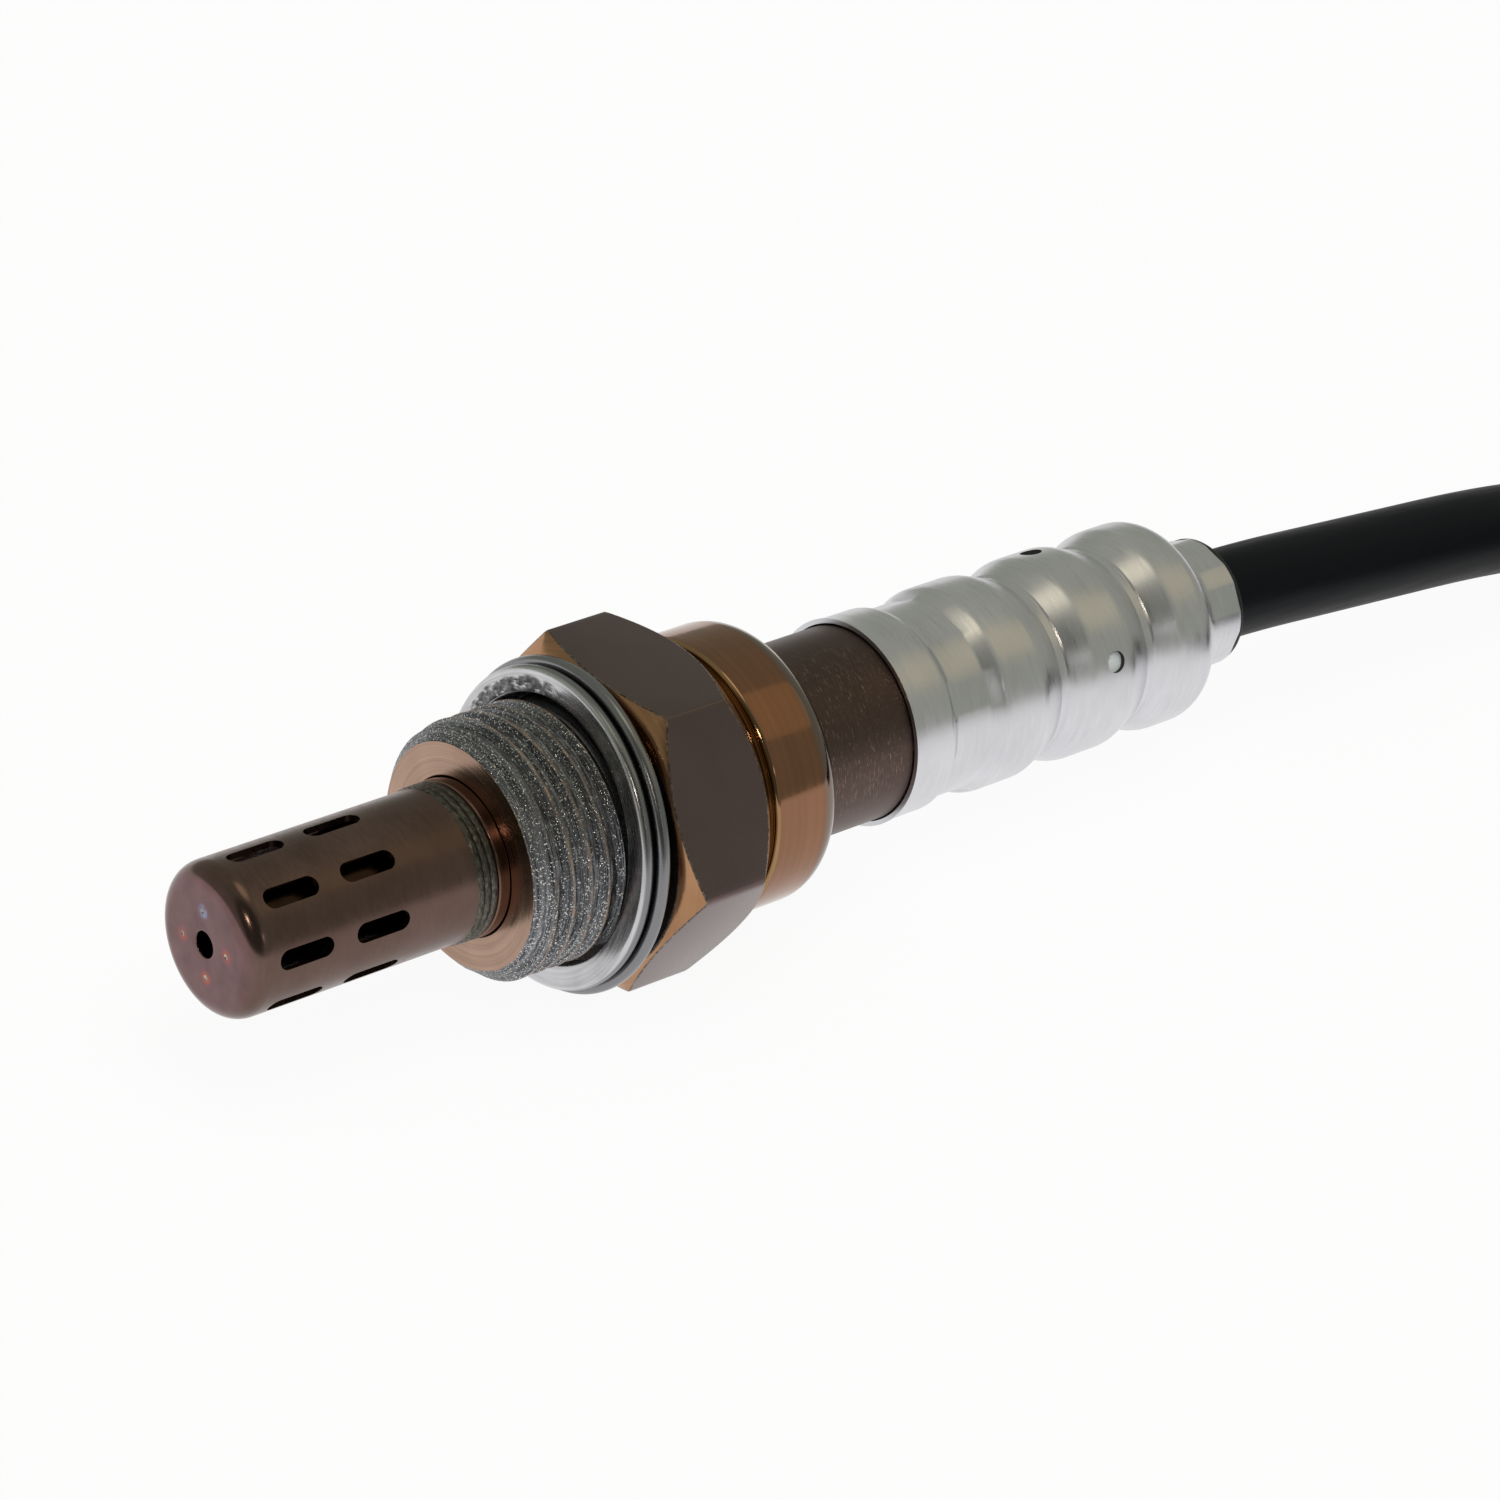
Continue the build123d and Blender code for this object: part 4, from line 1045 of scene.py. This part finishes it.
def makeSeals(s):
    silicone = mouldedFinish("siliconeSeal", *s.look)
    ringLine = ribbedLine(s.ringFront, s.ringRear, s.ringHalf, s.rib)
    inside = [(s.ringRear, s.towerHalf), (s.ringFront, s.towerHalf)]
    ring = squareSleeve([inside[1], *ringLine, *inside], s.corner)
    block = squareSleeve(ribbedLine(s.wireFront, s.wireRear, s.wireHalf, s.rib), s.corner)
    ops.holes_fill(block, edges=block.edges)
    made = []
    for shape, name, node in ((ring, "frontSeal", "front_seal"), (block, "wireSeal", "wire_seal")):
        ops.translate(welded(shape), verts=shape.verts, vec=Vector(plugPlace) * mm)
        made.append(addPiece(shape, name, [node], [silicone]))
    return made


sealPieces = makeSeals(named(seals))
print("tie and seals made")


# finishes of the solids that stay: two tints, grain, least and most roughness, depth, metallic, then solids

keptFinishes = {
    # the inner cover is tinted nearly black, far darker than the outer cover
    "darkInnerCover": ("#2b1f18", "#413026", 0.3, 0.18, 0.28, 0.003, 1, "inner_cover"),
    "plainSpringSteel": ("#8d8b88", "#9d9b97", 0.3, 0.3, 0.4, 0.003, 1, "seat_washer", "packing_ring"),
    "firedZirconia": ("#d9d5c8", "#e4e1d6", 0.15, 0.6, 0.75, 0.006, 0, "sensing_element"),
    "firedAlumina": ("#e2e0da", "#edebe6", 0.12, 0.35, 0.5, 0.003, 0,
        "alumina_sleeve", "terminal_insulator", "heater_rod"),
    "pressedTalc": ("#b9b4aa", "#c6c2b8", 0.2, 0.75, 0.85, 0.01, 0, "talc_seal"),
    "nickelContact": ("#b3afa6", "#c2beb5", 0.3, 0.22, 0.35, 0.003, 1,
        "heater_terminal_1", "heater_terminal_2", "inner_contact", "outer_contact"),
    "tinnedBrass": ("#bda46a", "#cbb47c", 0.3, 0.22, 0.35, 0.003, 1,
        *(f"connector_terminal_{i}" for i in range(1, 5))),
    "whiteWireInsulation": ("#d7d5cf", "#e0ded9", 0.2, 0.4, 0.5, 0.003, 0,
        "lead_wire_1", "lead_wire_3", "connector_lead_1", "connector_lead_3"),
    "blackWireInsulation": ("#17181a", "#1f2022", 0.2, 0.4, 0.5, 0.003, 0,
        "lead_wire_2", "connector_lead_2"),
    "greyWireInsulation": ("#77797b", "#828486", 0.2, 0.4, 0.5, 0.003, 0,
        "lead_wire_4", "connector_lead_4"),
    "sparkTexturedPlastic": ("#161719", "#1d1e21", 0.3, 0.42, 0.55, 0.02, 0,
        "connector_cap", "connector_housing"),
    "greyLockPlastic": ("#8e9092", "#999b9d", 0.3, 0.4, 0.5, 0.01, 0, "terminal_lock"),
}
for name, (low, high, grain, shiny, dull, depth, metallic, *nodeNames) in keptFinishes.items():
    finish = mouldedFinish(name, (low, high), grain, (shiny, dull), depth, metallic)
    for nodeName in nodeNames:
        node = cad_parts[nodeName]
        for place in node.material_slots:
            place.link = "OBJECT"
            place.material = finish
print("kept solids finished")


# lead sheath

def leadSheath():
    # extruded black sheath, matt, with faint scuffs along it
    material = newMaterial("extrudedLeadSheath", specular=0.13)
    scuffs = specks(material, 0.5, 4.0, (14, 1, 1))
    grain = specks(material, 0.14, 3.0)
    finishWith(material, (scuffs, "#04070c", "#080b13"), (scuffs, 0.42, 0.52), grain, 0.004)
    return material


lead.data.materials.append(leadSheath())
plugNodes = [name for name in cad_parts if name.startswith(("connector", "terminal_lock"))]
onLead = [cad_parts[name] for name in plugNodes] + [bellowsBoot, nylonTie] + sealPieces
# what is put away out of the camera's view isn't mirrored in the cover either
for thing in onLead:
    thing.visible_glossy = False


# studio

studio = {
    "floorZ": -11.667, "floorSize": 4000, "floorColour": "#f7f7f7",
    "floorShare": 0.935,  # how much of the floor's white doesn't depend on the lamps
    "room": "#9fa298",
    "darkSide": "#5c5d58",  # where the operator stands
    "darkToward": (-0.6, -0.6, 0.53), "darkEdge": (0.66, 0.86), "distance": 1500,
    # direction from the sensor, size across, radiance, colour
    "lamps": {
        "topBox": ((0.07, 0.05, 1.0), 760, 0.85, "#fff1d2"),
        "warmPanel": ((0.6, -0.3, 0.74), 900, 0.21, "#ffdf9a"),
        "keyFlash": ((-0.66, -0.42, 0.62), 150, 26, "#fff1dd"),
        "lowBox": ((0.05, -0.9, 0.43), 170, 2.6, "#ffffff"),
    },
    # overhead fill for matt surfaces, which bright metal doesn't show
    "fill": ((-0.1, -0.35, 0.93), 1200, 2.6, "#ffffff"),
}


def makeLamp(name, direction, size, radiance, colour):
    data = bpy.data.lights.new(name, "AREA")
    data.shape = "DISK"
    data.size = size * mm
    data.energy = radiance * pi * pi * (size * mm / 2) ** 2
    data.color = linearColour(colour)[:3]
    lamp = newObject(name, data)
    lamp.location = Vector(direction).normalized() * studio["distance"] * mm
    lamp.rotation_euler = Vector(direction).to_track_quat("Z", "Y").to_euler()
    return lamp


def whiteFloor(s):
    # pale matt sheet that stays white to the camera and in the metal, and keeps the shadow
    material = newMaterial("paleMattFloor", 0.0, 0.9, 0.0)
    add = partial(addNode, material)
    nodes = material.node_tree.nodes
    shader = nodes["Principled BSDF"]
    shader.inputs["Base Color"].default_value = linearColour(s.floorColour)
    ray = add("LightPath").node.outputs
    seen = ray["Is Camera Ray"]
    for other in ("Is Glossy Ray", "Is Transmission Ray"):
        seen = add("Math", {0: seen, 1: ray[other]}, operation="MAXIMUM")
    share = add("Math", {0: seen, 1: s.floorShare}, **times)
    white = add("Emission", {"Color": (1, 1, 1, 1), "Strength": 1.0})
    floorMix = add("MixShader", {0: share, 1: shader.outputs[0], 2: white})
    material.node_tree.links.new(floorMix, nodes["Material Output"].inputs["Surface"])
    return material


def makeStudio(s):
    sheet = bmesh.new()
    ops.create_grid(sheet, x_segments=2, y_segments=2, size=s.floorSize * mm)
    moveUp(sheet, sheet.verts, s.floorZ * mm)
    floor = meshObject(sheet, "floor")
    floor.data.materials.append(whiteFloor(s))
    world = bpy.data.worlds.new("studio")
    world.use_nodes = True
    add = partial(addNode, world)
    aim = {0: add("TexCoord", output="Generated"), 1: Vector(s.darkToward).normalized()}
    aim = add("VectorMath", aim, "Value", operation="DOT_PRODUCT")
    edge = {0: aim, 1: s.darkEdge[0], 2: s.darkEdge[1]}
    edge = add("MapRange", edge, interpolation_type="SMOOTHSTEP")
    sides = add("Mix", tinted(edge, s.room, s.darkSide), **inColour)
    nodes, links = world.node_tree.nodes, world.node_tree.links
    room = nodes["Background"]
    links.new(sides, room.inputs["Color"])
    seen = add("LightPath", output="Is Camera Ray")
    white = add("Background", {"Color": (1, 1, 1, 1), "Strength": 1.0})
    shown = add("MixShader", {0: seen, 1: room.outputs[0], 2: white})
    links.new(shown, nodes["World Output"].inputs["Surface"])
    bpy.context.scene.world = world
    for name, lamp in s.lamps.items():
        makeLamp(name, *lamp)
    makeLamp("fill", *s.fill).visible_glossy = False


makeStudio(named(studio))
bpy.context.scene.view_settings.view_transform = "Standard"
bpy.context.view_layer.update()
print("studio made")
